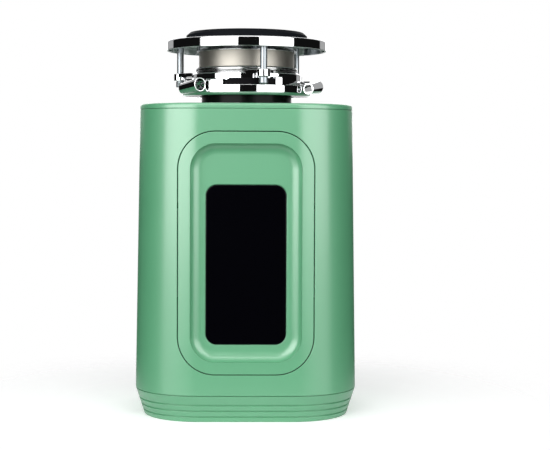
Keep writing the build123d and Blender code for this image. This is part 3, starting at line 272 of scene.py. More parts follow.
floor_paint = new_paint("floor_paint", {"Base Color": (0.93, 0.93, 0.935, 1), "Roughness": 0.8,
                                        "Specular IOR Level": 0.1, "Emission Color": white})
tree = floor_paint.node_tree
seen = add_node(tree, "ShaderNodeLightPath").outputs["Is Camera Ray"]
place = add_node(tree, "ShaderNodeTexCoord").outputs["Object"]
flat = add_node(tree, "ShaderNodeVectorMath", {0: place, 1: (1, 1, 0)}, operation="MULTIPLY")
reach = add_node(tree, "ShaderNodeVectorMath", {0: flat.outputs[0]}, operation="LENGTH").outputs["Value"]
fade = add_node(tree, "ShaderNodeMapRange", {
    "Value": reach, "From Min": shadow_near, "From Max": shadow_reach, "To Min": 1.0, "To Max": 0.0},
    interpolation_type="SMOOTHSTEP")
behind = add_node(tree, "ShaderNodeNewGeometry").outputs["Backfacing"]
above = calculate(tree, "SUBTRACT", fade.outputs["Result"], behind, use_clamp=True)
past_base = calculate(tree, "GREATER_THAN", reach, under_base)
feed(tree, tree.nodes["Principled BSDF"], {
    "Alpha": calculate(tree, "MULTIPLY", above, past_base),
    "Emission Strength": calculate(tree, "MULTIPLY", seen, floor_lift)})
floor.data.materials.append(floor_paint)
print("floor at", round(floor_level, 4))

# %% [markdown]
# ## Finishes
# Each finish is one material. No real surface is one even colour: a moulding
# drifts a little in tone, rubber and castings are grainy, brushed steel has
# fine lines. An image could show that, but noise on the piece's own coordinates
# needs no seams. The two effects that the finishes share are node groups, made
# once: a soft change of colour and roughness, and a fine grain.

# %% Shared groups
def new_tree(name, kind, inputs, outputs):
    """A tree with named sockets: the tree, what it is given, and its output node."""
    tree = bpy.data.node_groups.new(name, kind)
    for label, socket_kind, *start in inputs:
        socket = tree.interface.new_socket(label, in_out="INPUT", socket_type="NodeSocket" + socket_kind)
        if start:
            socket.default_value = start[0]
    for label, socket_kind in outputs:
        tree.interface.new_socket(label, in_out="OUTPUT", socket_type="NodeSocket" + socket_kind)
    return tree, tree.nodes.new("NodeGroupInput").outputs, tree.nodes.new("NodeGroupOutput")


def own_noise(tree, detail, scale, stretch=None):
    """Noise that reads the piece's own coordinates, stretched or not."""
    place = add_node(tree, "ShaderNodeTexCoord").outputs["Object"]
    if stretch is not None:
        inputs = {0: place, 1: stretch}
        place = add_node(tree, "ShaderNodeVectorMath", inputs, operation="MULTIPLY").outputs[0]
    inputs = {"Vector": place, "Scale": scale, "Detail": detail}
    return add_node(tree, "ShaderNodeTexNoise", inputs).outputs["Fac"]


drift, given, result = new_tree(
    "soft_change", "ShaderNodeTree",
    [("Colour", "Color", (0.5, 0.5, 0.5, 1)), ("Scale", "Float", 20.0), ("Amount", "Float", 0.05),
     ("Roughness", "Float", 0.3), ("Roughness Change", "Float", 0.05)],
    [("Colour", "Color"), ("Roughness", "Float")])
centred = calculate(drift, "SUBTRACT", own_noise(drift, 3, given["Scale"]), 0.5)
brightness = calculate(drift, "MULTIPLY_ADD", centred, given["Amount"], 1.0)
tinted = add_node(drift, "ShaderNodeVectorMath", {0: given["Colour"], "Scale": brightness}, operation="SCALE")
rough = calculate(drift, "MULTIPLY_ADD", centred, given["Roughness Change"], given["Roughness"])
feed(drift, result, {"Colour": tinted.outputs[0], "Roughness": rough})

grain, given, result = new_tree(
    "fine_grain", "ShaderNodeTree", [("Scale", "Float", 1500.0), ("Stretch", "Vector", (1, 1, 1))],
    [("Height", "Float")])
feed(grain, result, {"Height": own_noise(grain, 2, given["Scale"], given["Stretch"])})
print("groups:", [group.name for group in bpy.data.node_groups])

# %% [markdown]
# A finish starts from one helper. It joins the soft change to the colour and
# the roughness, and the fine grain to a bump, and it sets the constant values
# straight on the shader. A piece that is duller in some places says so with a
# number on its faces, named satin, which is added to the roughness.

# %% One finish
finishes = {}


def finish(name, colour, roughness, metal=0.0, change=0.04, change_scale=25, rough_change=0.05,
           grain_scale=1500, grain_depth=0.0, stretch=(1, 1, 1), specular=0.5, coat=0.0,
           coat_roughness=0.03, coat_ior=1.5):
    """A material for one finish, with the shared groups in it."""
    finishes[name] = new_paint(name, {
        "Metallic": metal, "Specular IOR Level": specular, "Coat Weight": coat, "Coat IOR": coat_ior,
        "Coat Roughness": coat_roughness})
    tree = finishes[name].node_tree
    shader = tree.nodes["Principled BSDF"]
    soft = add_node(tree, "ShaderNodeGroup", {
        "Colour": (*colour, 1), "Scale": change_scale, "Amount": change, "Roughness": roughness,
        "Roughness Change": rough_change}, node_tree=drift).outputs
    satin = add_node(tree, "ShaderNodeAttribute", attribute_name="satin").outputs["Fac"]
    feed(tree, shader, {"Base Color": soft["Colour"],
                        "Roughness": calculate(tree, "ADD", soft["Roughness"], satin)})
    if grain_depth > 0:
        fine = add_node(tree, "ShaderNodeGroup", {"Scale": grain_scale, "Stretch": stretch}, node_tree=grain)
        bump = add_node(tree, "ShaderNodeBump", {"Strength": 1.0, "Distance": grain_depth,
                                                 "Height": fine.outputs["Height"]})
        feed(tree, shader, {"Normal": bump.outputs["Normal"]})


# %% Mouldings and rubber
finish("housing_green", (0.092, 0.365, 0.18), 0.5, change=0.03, grain_scale=400, grain_depth=0.004 * mm,
       specular=1.0, coat=0.9, coat_roughness=0.25, coat_ior=1.7)
finish("window_black", (0.001, 0.001, 0.002), 0.12, change=0.1, rough_change=0.02, specular=0.2)
finish("neck_black", (0.006, 0.008, 0.007), 0.25, change=0.1, specular=0.08)
finish("pipe_black", (0.012, 0.012, 0.013), 0.45, grain_depth=0.02 * mm)
finish("terminal_black", (0.014, 0.014, 0.015), 0.5, grain_depth=0.02 * mm)
finish("terminal_white", (0.75, 0.73, 0.68), 0.4, grain_depth=0.02 * mm)
finish("lead_grey", (0.1, 0.11, 0.13), 0.5, grain_depth=0.01 * mm)
finish("button_red", (0.5, 0.015, 0.012), 0.3, coat=0.5)
finish("rubber_black", (0.006, 0.007, 0.009), 0.5, rough_change=0.15, grain_scale=900,
       grain_depth=0.03 * mm, specular=0.02)
finish("cushion_rubber", (0.004, 0.004, 0.005), 0.55, rough_change=0.15, grain_scale=900,
       grain_depth=0.03 * mm, specular=0.05)
finish("insulation_felt", (0.17, 0.17, 0.16), 0.95, change=0.5, change_scale=900, grain_scale=700,
       grain_depth=0.4 * mm)

# %% Metals
finish("chrome", (0.83, 0.84, 0.85), 0.035, metal=1, change=0.02, rough_change=0.03)
finish("sleeve_steel", (0.37, 0.35, 0.31), 0.45, metal=1, grain_scale=60, stretch=(1, 1, 40),
       grain_depth=0.02 * mm, change_scale=60)
finish("spring_steel", (0.42, 0.42, 0.42), 0.2, metal=1)
finish("screw_steel", (0.33, 0.36, 0.38), 0.36, metal=1, change_scale=120, rough_change=0.12)
finish("grind_steel", (0.5, 0.5, 0.5), 0.35, metal=1, grain_scale=500, grain_depth=0.02 * mm)
finish("shaft_steel", (0.6, 0.6, 0.61), 0.22, metal=1, grain_scale=80, stretch=(1, 1, 30),
       grain_depth=0.01 * mm)
finish("cast_aluminium", (0.55, 0.56, 0.57), 0.48, metal=1, rough_change=0.15, grain_scale=700,
       grain_depth=0.12 * mm)
finish("can_aluminium", (0.7, 0.71, 0.72), 0.3, metal=1)
finish("bearing_bronze", (0.42, 0.26, 0.11), 0.4, metal=1, grain_depth=0.02 * mm)
finish("copper_wire", (0.5, 0.16, 0.05), 0.35, metal=1, grain_scale=250, stretch=(1, 1, 8),
       grain_depth=0.3 * mm)
finish("core_iron", (0.12, 0.12, 0.13), 0.5, metal=1, grain_scale=60, stretch=(1, 1, 60),
       grain_depth=0.05 * mm)
finish("shell_paint", (0.02, 0.02, 0.022), 0.45, grain_depth=0.02 * mm)
print(len(finishes), "finishes")

# %% [markdown]
# Every piece of the CAD model starts with the finish of its own slot, so even
# what is hidden inside looks like what it is.

# %% Finishes for the CAD pieces
slot_of = {row["node"]: row["material_slot"] for row in record["subparts"]}
for node, slot_name in slot_of.items():
    mesh = nodes[node].data
    mesh.materials.clear()
    mesh.materials.append(finishes[slot_name])
print(len(slot_of), "pieces have the finish of their slot")

# %% [markdown]
# ## Skins through rings
# A moulding or a turned ring is one closed skin through rings of points. It
# could be cut from blocks, but rings keep every edge soft: a sharp edge looks
# false, because a real one always has a small round that catches the light.
# So each profile is a list of corners, and a corner with a radius becomes an arc.

# %% Profiles with soft corners
def rounded(corners, steps=4):
    """Points along a profile of (across, up, radius) corners, in millimetres."""
    points = []
    for index, (across, up, radius) in enumerate(corners):
        here = Vector((across, up))
        if radius == 0:
            points.append(here)
            continue
        before = (Vector(corners[index - 1][:2]) - here).normalized()
        after = (Vector(corners[(index + 1) % len(corners)][:2]) - here).normalized()
        half_angle = before.angle(after) / 2
        centre = here + (before + after).normalized() * (radius / sin(half_angle))
        first = here + before * (radius / tan(half_angle)) - centre
        last = here + after * (radius / tan(half_angle)) - centre
        points += [centre + radius * first.slerp(last, step / steps) for step in range(steps + 1)]
    return points


def quarter_turn(steps):
    """Angles from 0 to 90 degrees."""
    return [radians(90 * step / steps) for step in range(steps + 1)]


# %% Outlines and circles
def rounded_outline(width, height, corner, steps=24, sides=1):
    """Points round a rounded rectangle, as many whatever its size."""
    points = []
    for turn, (side, end) in enumerate(((1, -1), (1, 1), (-1, 1), (-1, -1))):
        centre = Vector((side * (width / 2 - corner), end * (height / 2 - corner)))
        for step in range(steps + 1):
            angle = radians(90 * (turn - 1 + step / steps))
            points.append(centre + corner * Vector((cos(angle), sin(angle))))
    along = [[points[i], points[(i + 1) % len(points)]] for i in range(steps, len(points), steps + 1)]
    for index in reversed(range(4)):
        first, last = along[index]
        place = (index + 1) * (steps + 1)
        points[place:place] = [first.lerp(last, step / sides) for step in range(1, sides)]
    return points


front, right, back, up = (0, -1, 0), (1, 0, 0), (0, 1, 0), (0, 0, 1)


def circle(centre, radius, start, side, count):
    """Points round a centre, from one direction towards another."""
    ring = []
    for step in range(count):
        angle = 2 * pi * step / count
        ring.append([middle + radius * (cos(angle) * first + sin(angle) * second)
                     for middle, first, second in zip(centre, start, side)])
    return ring


# %% A skin through rings
def skin(name, rings, closed=True, sharp=35):
    """A mesh object through rings of points in millimetres, its ends joined or capped."""
    build = bmesh.new()
    rows = [[build.verts.new(Vector(point) * mm) for point in ring] for ring in rings]
    count = len(rows[0])
    following = rows[1:] + rows[:1] if closed else rows[1:]
    for row, other in zip(rows, following):
        for first in range(count):
            second = (first + 1) % count
            build.faces.new((row[first], row[second], other[second], other[first]))
    if not closed:
        build.faces.new(reversed(rows[0]))
        build.faces.new(rows[-1])
    bmesh.ops.remove_doubles(build, verts=build.verts, dist=1e-7)
    bmesh.ops.recalc_face_normals(build, faces=build.faces)
    mesh = bpy.data.meshes.new(name)
    build.to_mesh(mesh)
    build.free()
    mesh.shade_smooth()
    mesh.set_sharp_from_angle(angle=radians(sharp))
    return add_object(name, mesh)


def prism(name, outline, low, high):
    """An upright solid on an outline of (x, y) points, between two heights."""
    return skin(name, [[(x, y, height) for x, y in outline] for height in (low, high)], closed=False)


def bake(piece):
    """Makes the result of the piece's modifiers its own mesh."""
    view_layer = bpy.context.evaluated_depsgraph_get()
    mesh = bpy.data.meshes.new_from_object(piece.evaluated_get(view_layer))
    piece.modifiers.clear()
    bare, piece.data = piece.data, mesh
    bpy.data.meshes.remove(bare)
    return piece


# %% Cutting, shading and dressing a piece
def cut(piece, cutter):
    """Takes the cutter's shape out of the piece, and removes the cutter."""
    take = piece.modifiers.new("cut", "BOOLEAN")
    take.operation, take.solver, take.object = "DIFFERENCE", "EXACT", cutter
    bake(piece)
    bpy.data.objects.remove(cutter)


def settle(piece, guide=None):
    """Shades flat faces flat, beside soft edges that stay round.

    A guide gives the exact normal of a surface at a point, or None away from it.
    """
    even = piece.modifiers.new("even", "WEIGHTED_NORMAL")
    even.keep_sharp = True
    mesh = bake(piece).data
    if guide:
        normals = [corner.vector.copy() for corner in mesh.corner_normals]
        for face in mesh.polygons:
            for corner in face.loop_indices:
                exact = guide(mesh.vertices[mesh.loops[corner].vertex_index].co / mm)
                if exact and exact.dot(face.normal) > 0.7:
                    normals[corner] = exact
        mesh.normals_split_custom_set(normals)
    return piece


def dress(piece, body, node):
    """Gives a piece the finish of its node's slot, hides that node and puts the piece on its body."""
    piece.data.materials.clear()
    piece.data.materials.append(finishes[slot_of[node]])
    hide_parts(node)
    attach(piece, body)
    print(node, len(piece.data.polygons), "faces")


# %% [markdown]
# ## The green housing
# The body is a rounded square that tapers a little towards the top. Its width
# and its corner radius change evenly with the height, so one rule gives every
# ring, and the same rule gives the exact normal for a clean reflection. The
# sizes repeat those of the part, in millimetres.

# %% The body's rule
z_foot, z_seam, z_shoulder, z_lid = -336.3, -312.3, -67.6, -62.7
body_height = z_shoulder - z_seam
half_seam, half_top, corner_seam, corner_top = 97.8, 93.8, 56.0, 54.5
wall = 2.5


def half_at(height):
    """Half the body's width at a height."""
    return half_seam + (half_top - half_seam) * (height - z_seam) / body_height


def corner_at(height):
    """The body's corner radius at a height."""
    return corner_seam + (corner_top - corner_seam) * (height - z_seam) / body_height


def square_ring(half, corner, height, sides=1):
    """A level rounded square, by half its width and its corner radius."""
    return [(*point, height) for point in rounded_outline(2 * half, 2 * half, corner, sides=sides)]


def body_normal(point):
    """The exact normal where a point lies on the body's outside, or None."""
    if not z_seam - 0.1 <= point.z <= z_shoulder + 0.1:
        return None
    half, corner = half_at(point.z), corner_at(point.z)
    centre = half - corner
    out = Vector((max(abs(point.x) - centre, 0), max(abs(point.y) - centre, 0)))
    if out.length == 0 or abs(out.length - corner) > 0.02:
        return None
    out.normalize()
    lean = ((half_seam - half_top - corner_seam + corner_top) * (out.x + out.y)
            + corner_seam - corner_top) / body_height
    across, along = (out.x if point.x > 0 else -out.x), (out.y if point.y > 0 else -out.y)
    return Vector((across, along, lean)).normalized()


# %% Housing: the shell
seam_round, storey_count = 0.5, 16
storeys = [z_seam + body_height * step / storey_count for step in range(1, storey_count)]
shell_profile = rounded([(0, z_seam, seam_round)] + [(0, height, 0) for height in storeys]
                        + [(0, z_shoulder, seam_round), (wall, z_shoulder, 0)]
                        + [(wall, height, 0) for height in reversed(storeys)] + [(wall, z_seam, 0)])
housing = skin("housing_shell", [square_ring(half_at(height) - inset, corner_at(height) - inset, height, 8)
                                 for inset, height in shell_profile])
print("shell:", len(housing.data.polygons), "faces")

# %% [markdown]
# The front trim lies in an opening of the front. Its rim, the basin in it and
# the window's pocket are rounded rectangles, one inside the other. They could
# be carved out of the shell, but the front turns into the round corners there,
# so every ring follows the body's curve by the same rule as the shell.

# %% Rings on the front
trim_outline, basin_outline, window_outline = (116.0, 206.8, 32.0), (95.0, 186.6, 22.0), (69.0, 137.0, 9.5)
trim_middle, window_drop = -190.5, 10.3
basin_depth, basin_cove, trim_depth, trim_gap = 7.3, 9.6, 11.5, 0.7


def front_depth(across, height):
    """How far the body's front has curved away from its flat middle at a point."""
    corner = corner_at(height)
    past = abs(across) - (half_at(height) - corner)
    return corner - sqrt(corner ** 2 - past ** 2) if past > 0 else 0.0


def drawn_in(outline, inset):
    """An outline's width, height and corner radius, drawn in by an inset."""
    width, height, corner = outline
    return width - 2 * inset, height - 2 * inset, corner - inset


def front_ring(outline, depth, follow=0.0, drop=0.0):
    """A ring on the front, at a depth behind its flat middle, or following its curve."""
    ring = []
    for across, rise in rounded_outline(*outline):
        level = trim_middle - drop + rise
        ring.append((across, -half_at(level) + depth + follow * front_depth(across, level), level))
    return ring


def trim_ring(inset, depth, follow=1.0):
    """A ring of the trim's outline, drawn in by an inset."""
    return front_ring(drawn_in(trim_outline, inset), depth, follow)


def basin_ring(inset, depth, follow=0.0):
    """A ring of the basin's outline, drawn in by an inset."""
    return front_ring(drawn_in(basin_outline, inset), depth, follow)


def window_ring(inset, depth):
    """A ring of the window's outline, drawn in by an inset."""
    return front_ring(drawn_in(window_outline, inset), depth, drop=window_drop)


# %% Housing: the opening for the trim, with a soft edge that starts just outside
edge_round = 0.5
opening_rings = [trim_ring(-3.5, -3.0, 0.0)]
for step in range(5):
    angle = radians(12 + 78 * step / 4)
    depth = edge_round * (1 - cos(angle)) if step else -0.02
    opening_rings.append(trim_ring(-trim_gap - edge_round * (1 - sin(angle)), depth))
opening_rings.append(trim_ring(-trim_gap, 8.0, 0.0))
cut(housing, skin("trim_opening", opening_rings, closed=False))
print("with the trim's opening:", len(housing.data.polygons), "faces")

# %% Housing: the openings at the back
outlet_level, inlet_level, gland_across, gland_level = -206.3, -114.3, -46.0, -290.3


def back_cutter(name, across, level, width, height, corner, near=80.0, far=112.0):
    """A rounded prism through the back wall."""
    outline = [point + Vector((across, level)) for point in rounded_outline(width, height, corner, 12)]
    return skin(name, [[(x, depth, z) for x, z in outline] for depth in (near, far)], closed=False)


cut(housing, back_cutter("outlet_opening", 0, outlet_level, 82.0, 56.0, 25.0))
cut(housing, back_cutter("inlet_opening", 0, inlet_level, 27.4, 27.4, 13.69))
cut(housing, back_cutter("gland_opening", gland_across, gland_level, 13.7, 13.7, 2.05))
settle(housing, body_normal)
dress(housing, "root", "outer_housing")

# %% [markdown]
# The lid is a thin tray turned over, with a round hole for the black neck. Its
# rings start as circles at the hole and end as the rounded square of its rim.
# The points of a circle follow the bearing of the square's points, so the
# faces between them run straight out.

# %% Lid
neck_hole_r, lid_round, hole_round, lid_seam, lid_sheet = 42.0, 2.5, 0.6, 0.4, 2.4
seam_step, lip_out, lip_in, lip_low = 1.4, 2.8, 5.3, z_shoulder - 5
lid_bearings = [point.normalized() for point in rounded_outline(2 * half_top, 2 * half_top, corner_top)]
lid_under = z_lid - lid_sheet

lid_rings = [[(*(bearing * radius), height) for bearing in lid_bearings] for radius, height in rounded(
    [(neck_hole_r, lid_under, 0), (neck_hole_r, z_lid, hole_round), (60, z_lid, 0)])]
lid_rings += [square_ring(half_top - inset, corner_top - inset, height) for inset, height in rounded(
    [(20, z_lid, 0), (0, z_lid, lid_round), (0, z_shoulder + lid_seam, 0.2),
     (seam_step, z_shoulder + lid_seam, 0.1), (seam_step, z_shoulder, 0), (lip_out, z_shoulder, 0),
     (lip_out, lip_low, 0.3), (lip_in, lip_low, 0.3), (lip_in, lid_under, 0)], steps=6)]
lid = settle(skin("lid", lid_rings))
dress(lid, "root", "top_cover")

# %% [markdown]
# The base closes the housing from below. Three grooves run round its slope, the
# edge at the foot is soft, and the panel across it lies a little higher than
# the rim that carries the weight. The panel has a hole for the wrench that
# frees the motor, one for the red button, five slots for cooling air and eight
# holes for screws.

# %% Base: the slope with its grooves
half_foot, corner_foot, base_height = 90.3, 50.0, 24.0
panel_under, panel_top, foot_wall = z_foot + 6.0, z_foot + 8.5, 4.0
groove_rises, groove_half, groove_depth, seam_gap = (4.7, 10.0, 15.3), 0.6, 1.0, 0.6


def base_ring(inset, height):
    """A ring round the base's slope, drawn in by an inset."""
    share = (height - z_foot) / base_height
    half = half_foot + share * (half_seam - half_foot) - inset
    corner = corner_foot + share * (corner_seam - corner_foot) - inset
    return square_ring(half, corner, height)


groove_corners = []
for rise in groove_rises:
    low, high = z_foot + rise - groove_half, z_foot + rise + groove_half
    groove_corners += [(0, low, 0.25), (groove_depth, low, 0.3), (groove_depth, high, 0.3), (0, high, 0.25)]
base_profile = rounded(
    [(wall, panel_top, 0), (wall, z_seam, 0), (seam_step, z_seam, 0), (seam_step, z_seam - seam_gap, 0.2),
     (0, z_seam - seam_gap, 0.3)] + groove_corners[::-1]
    + [(0, z_foot, 1.0), (foot_wall, z_foot, 0.6), (foot_wall, panel_under, 0)])
base = skin("base", [base_ring(inset, height) for inset, height in base_profile], closed=False)

# %% Base: the holes and slots in its panel
wrench_hole, button_hole, button_y, screw_hole = 26.0, 11.2, -48.0, 4.4
slot_length, slot_width, slot_middle, slot_pitch = 26.0, 4.0, 51.65, 9
near_round = 0.01
openings = [(0, 0, wrench_hole, wrench_hole), (0, button_y, button_hole, button_hole)]
openings += [(0, slot_middle + slot_pitch * step, slot_length, slot_width) for step in range(-2, 3)]
openings += [(x * reach, y * reach, screw_hole, screw_hole) for reach in (68.0, 42.0)
             for x in (-1, 1) for y in (-1, 1)]
for x, y, width, depth in openings:
    outline = rounded_outline(width, depth, depth / 2 - near_round, 6)
    outline = [(point.x + x, point.y + y) for point in outline]
    cut(base, prism("hole", outline, panel_under - 1, panel_top + 1))
settle(base)
dress(base, "root", "base_cover")

# %% [markdown]
# The trim is one skin. Its rings start behind it, come round its soft edge, lie
# on the body's curve, turn into the basin in a wide cove, and end on the floor
# of the window's pocket. The window is a slab with a soft edge that stands a
# little proud of the basin's floor.

# %% Trim
trim_flange, basin_edge, pocket_edge, pocket_depth = 5.9, 0.3, 0.8, 1.9
trim_rings = [basin_ring(-wall, trim_depth), basin_ring(-wall, trim_flange), trim_ring(wall, trim_flange),
              trim_ring(wall, trim_depth, 0.0), trim_ring(0, trim_depth, 0.0)]
trim_rings += [trim_ring(edge_round * (1 - cos(angle)), edge_round * (1 - sin(angle)))
               for angle in quarter_turn(5)]
rim_first, rim_last = drawn_in(trim_outline, edge_round), drawn_in(basin_outline, -basin_edge)
for share in (0.15, 0.3, 0.45, 0.6, 0.75, 0.9):
    outline = [first + share * (last - first) for first, last in zip(rim_first, rim_last)]
    trim_rings.append(front_ring(outline, 0, 1.0))
trim_rings += [basin_ring(-basin_edge * (1 - sin(angle)), basin_edge * (1 - cos(angle)), 1.0)
               for angle in quarter_turn(3)]
trim_rings += [basin_ring(basin_cove * (1 - cos(angle)), basin_depth * sin(angle))
               for angle in quarter_turn(12)]
trim_rings += [window_ring(-pocket_edge * (1 - sin(angle)), basin_depth + pocket_edge * (1 - cos(angle)))
               for angle in quarter_turn(3)]
trim_rings.append(window_ring(0, basin_depth + pocket_depth))
trim = settle(skin("trim", trim_rings, closed=False), body_normal)
dress(trim, "root", "front_trim")

# %% Window
window_edge, window_gap, window_proud, glass = 0.55, 0.25, 0.5, 2.4
window_face = basin_depth - window_proud
window_rings = [window_ring(window_gap, window_face + glass)]
window_rings += [window_ring(window_gap + window_edge * (1 - cos(angle)),
                             window_face + window_edge * (1 - sin(angle))) for angle in quarter_turn(5)]
window = settle(skin("window", window_rings, closed=False))
dress(window, "root", "front_window")

# %% [markdown]
# ## Turned rings, and what repeats round the axis
# The mount above the housing is a stack of rings round one axis. A turned
# piece is a skin through circles. A part of a ring is the same profile, bent
# only between two bearings. What stands three times round the axis is modelled
# once at the front, and a small node tree repeats it.

# %% Turned pieces and bent pieces
def turned(name, corners, count=144, steps=4, y=0, closed=True):
    """A ring through (radius, height, round) corners, or a solid that its ends close."""
    return skin(name, [circle((0, y, height), radius, front, right, count)
                       for radius, height in rounded(corners, steps=steps)], closed)


def soften(piece, width):
    """Rounds the sharp edges of a piece by a width in millimetres."""
    bevel = piece.modifiers.new("soft", "BEVEL")
    bevel.width, bevel.segments = width * mm, 2
    bevel.limit_method, bevel.angle_limit = "ANGLE", radians(35)
    bake(piece)
    piece.data.shade_smooth()
    piece.data.set_sharp_from_angle(angle=radians(35))
    return piece


def bent(name, sections, soft):
    """A part of a ring through pairs of an azimuth and a section of (radius, height) points."""
    rings = [[around(radius, azimuth, height) for radius, height in section] for azimuth, section in sections]
    return soften(skin(name, rings, closed=False), soft)


def even_steps(first, last, count):
    """Azimuths at even steps, the two ends among them."""
    return [first + (last - first) * step / count for step in range(count + 1)]


def joined(name, pieces):
    """One object from several, which are removed."""
    build = bmesh.new()
    for piece in pieces:
        build.from_mesh(piece.data)
        bpy.data.objects.remove(piece)
    mesh = bpy.data.meshes.new(name)
    build.to_mesh(mesh)
    build.free()
    return add_object(name, mesh)


# %% Node trees for shapes
def end_tree(tree, geometry, material, result):
    """The last two nodes of a tree: its copies made real, and their material."""
    tree.is_modifier = True
    real = add_node(tree, "GeometryNodeRealizeInstances", {0: geometry})
    painted = add_node(tree, "GeometryNodeSetMaterial", {"Geometry": real.outputs[0], "Material": material})
    feed(tree, result, {0: painted.outputs[0]})


def grow(piece, tree, values):
    """Runs a tree on a piece with values for its named inputs, and keeps the result."""
    nodes_modifier = piece.modifiers.new(tree.name, "NODES")
    nodes_modifier.node_group = tree
    for socket in tree.interface.items_tree:
        if socket.in_out == "INPUT" and socket.name in values:
            nodes_modifier[socket.identifier] = values[socket.name]
    return bake(piece)


# %% The tree that repeats a piece round the axis
round_axis, given, result = new_tree("Round the axis", "GeometryNodeTree", [
    ("Piece", "Geometry"), ("Count", "Int"), ("First Turn", "Float"), ("Turn Step", "Float"),
    ("Material", "Material")], [("Geometry", "Geometry")])
points = add_node(round_axis, "GeometryNodePoints", {"Count": given["Count"]})
number = add_node(round_axis, "GeometryNodeInputIndex").outputs[0]
angle = calculate(round_axis, "MULTIPLY_ADD", number, given["Turn Step"], given["First Turn"])
spin = add_node(round_axis, "ShaderNodeCombineXYZ", {"Z": angle})
rotation = add_node(round_axis, "FunctionNodeEulerToRotation", {0: spin.outputs[0]})
copies = add_node(round_axis, "GeometryNodeInstanceOnPoints", {
    "Points": points.outputs[0], "Instance": given["Piece"], "Rotation": rotation.outputs[0]})
end_tree(round_axis, copies.outputs[0], given["Material"], result)


def repeated(piece, slot_name, count=3, first=0.0, step=120.0):
    """The piece repeated round the axis at even steps."""
    return grow(piece, round_axis, {"Count": count, "First Turn": radians(first),
                                    "Turn Step": radians(step), "Material": finishes[slot_name]})


# %% The tree that runs a round wire along a path
along_path, given, result = new_tree("Wire along a path", "GeometryNodeTree", [
    ("Path", "Geometry"), ("Wire Radius", "Float"), ("Sides", "Int"), ("Material", "Material")],
    [("Geometry", "Geometry")])
curve = add_node(along_path, "GeometryNodeMeshToCurve", {"Mesh": given["Path"]})
section = add_node(along_path, "GeometryNodeCurvePrimitiveCircle", {
    "Resolution": given["Sides"], "Radius": given["Wire Radius"]})
wire = add_node(along_path, "GeometryNodeCurveToMesh", {
    "Curve": curve.outputs[0], "Profile Curve": section.outputs[0], "Fill Caps": True})
end_tree(along_path, wire.outputs[0], given["Material"], result)
print("trees:", round_axis.name, "and", along_path.name)

# %% [markdown]
# ## The mount
# From the top down: the steel sleeve with its rim, the rubber disc under the
# rim, the chrome pan that the three screws press up, the spring wire, the
# mounting ring, the cushion, and the locking ring with its hooks and lugs.
# The wire lies in a groove of the sleeve, so the sleeve's profile takes a
# hollow of the wire's own radius there.

# %% Heights of the mount, and the sleeve
z_lock, z_cushion, z_ear, z_ear_top, z_pan_top = -54.3, -45.3, -38.8, -32.3, -4.3
sleeve_r, sleeve_wall, sleeve_low, rim_r, rim_top = 43.5, 1.2, -42.3, 50, 2.4
wire_r, z_wire = 1.9, -30.1
wire_ring_r = sleeve_r + 1.3
sheet = 1.6

groove = []
for step in range(7):
    reach = radians(43 - 86 * step / 6)
    groove.append((wire_ring_r - wire_r * cos(reach), z_wire - wire_r * sin(reach), 0))
bore_r = sleeve_r - sleeve_wall
sleeve = turned("sleeve", [(bore_r, sleeve_low, 0.4), (sleeve_r, sleeve_low, 0.4)] + groove
                + [(sleeve_r, 0, 0.4), (rim_r, 0, 0.6), (rim_r, rim_top, 1.0), (bore_r, rim_top, 1.0)],
                count=180)
dress(settle(sleeve), "root", "sink_flange")

# %% Rubber disc, and the pan, whose underside is duller than its top
bore_r, disc_r, disc_top, disc_crown, seat_r, pan_r = 44, 55, 0.9, 3.8, 50.3, 72.7
disc = turned("disc", [(bore_r, z_pan_top, 0.3), (disc_r, z_pan_top, 0.5), (disc_r, disc_top, 0.5),
                       (seat_r + 1.3, disc_crown, 1.0), (seat_r, disc_crown, 0.2), (seat_r, 0, 0.2),
                       (bore_r, 0, 0.3)])
dress(settle(disc), "clamp", "flange_gasket")

pan_low, collar_low, collar_r, dull = z_pan_top - 8.5, z_pan_top - 9.7, bore_r + sheet, 0.45
pan_under = z_pan_top - sheet
pan = settle(turned("pan", [
    (bore_r, collar_low, 0.5), (bore_r, z_pan_top, 3.2), (pan_r, z_pan_top, 1.2), (pan_r, pan_low, 0.5),
    (pan_r - sheet, pan_low, 0.5), (pan_r - sheet, pan_under, 0.6), (collar_r, pan_under, sheet),
    (collar_r, collar_low, 0.5)], count=180, steps=6))
satin = pan.data.attributes.new("satin", "FLOAT", "FACE")
satin.data.foreach_set("value", [dull if face.normal.z < -0.5 else 0.0 for face in pan.data.polygons])
dress(pan, "clamp", "support_flange")

# %% Spring wire, open at the back so that it can be spread over the sleeve
wire_steps, wire_span = 96, 336
wire_path = [around(wire_ring_r, wire_span * (step / wire_steps - 0.5), z_wire) * mm
             for step in range(wire_steps + 1)]
spring = add_mesh("spring_wire", wire_path, edges=[(first, first + 1) for first in range(wire_steps)])
grow(spring, along_path, {"Wire Radius": wire_r * mm, "Sides": 20, "Material": finishes["spring_steel"]})
spring.data.shade_smooth()
spring.data.set_sharp_from_angle(angle=radians(60))
dress(spring, "root", "snap_ring")

# %% [markdown]
# The mounting ring is a band with a sloped shoulder. Ramps on it pull the
# locking ring's hooks up, fingers keep the cushion in place, and three ears
# carry the screws. Each ear is one skin through rings round the screw's axis:
# every ring has its points on the same bearings, so the round boss below grows
# into the wedge of the ear above. A box and a cylinder pushed together would
# leave a crease.

# %% Mounting ring: band, ramps and fingers
ear_turn, ramp_turn = -106.7, -46.5
band_r, band_low_r, band_bore_r, shoulder = 50, 48.4, 44.2, -33.9
band = turned("band", [(band_low_r, z_cushion, 0.4), (band_r, z_cushion, 0.4), (band_r, -34.5, 1.2),
                       (45.8, z_ear_top, 0.8), (band_bore_r, z_ear_top, 0.5), (band_bore_r, shoulder, 0.5),
                       (45.8, shoulder, 0.4), (band_low_r, -36.1, 0.6)])

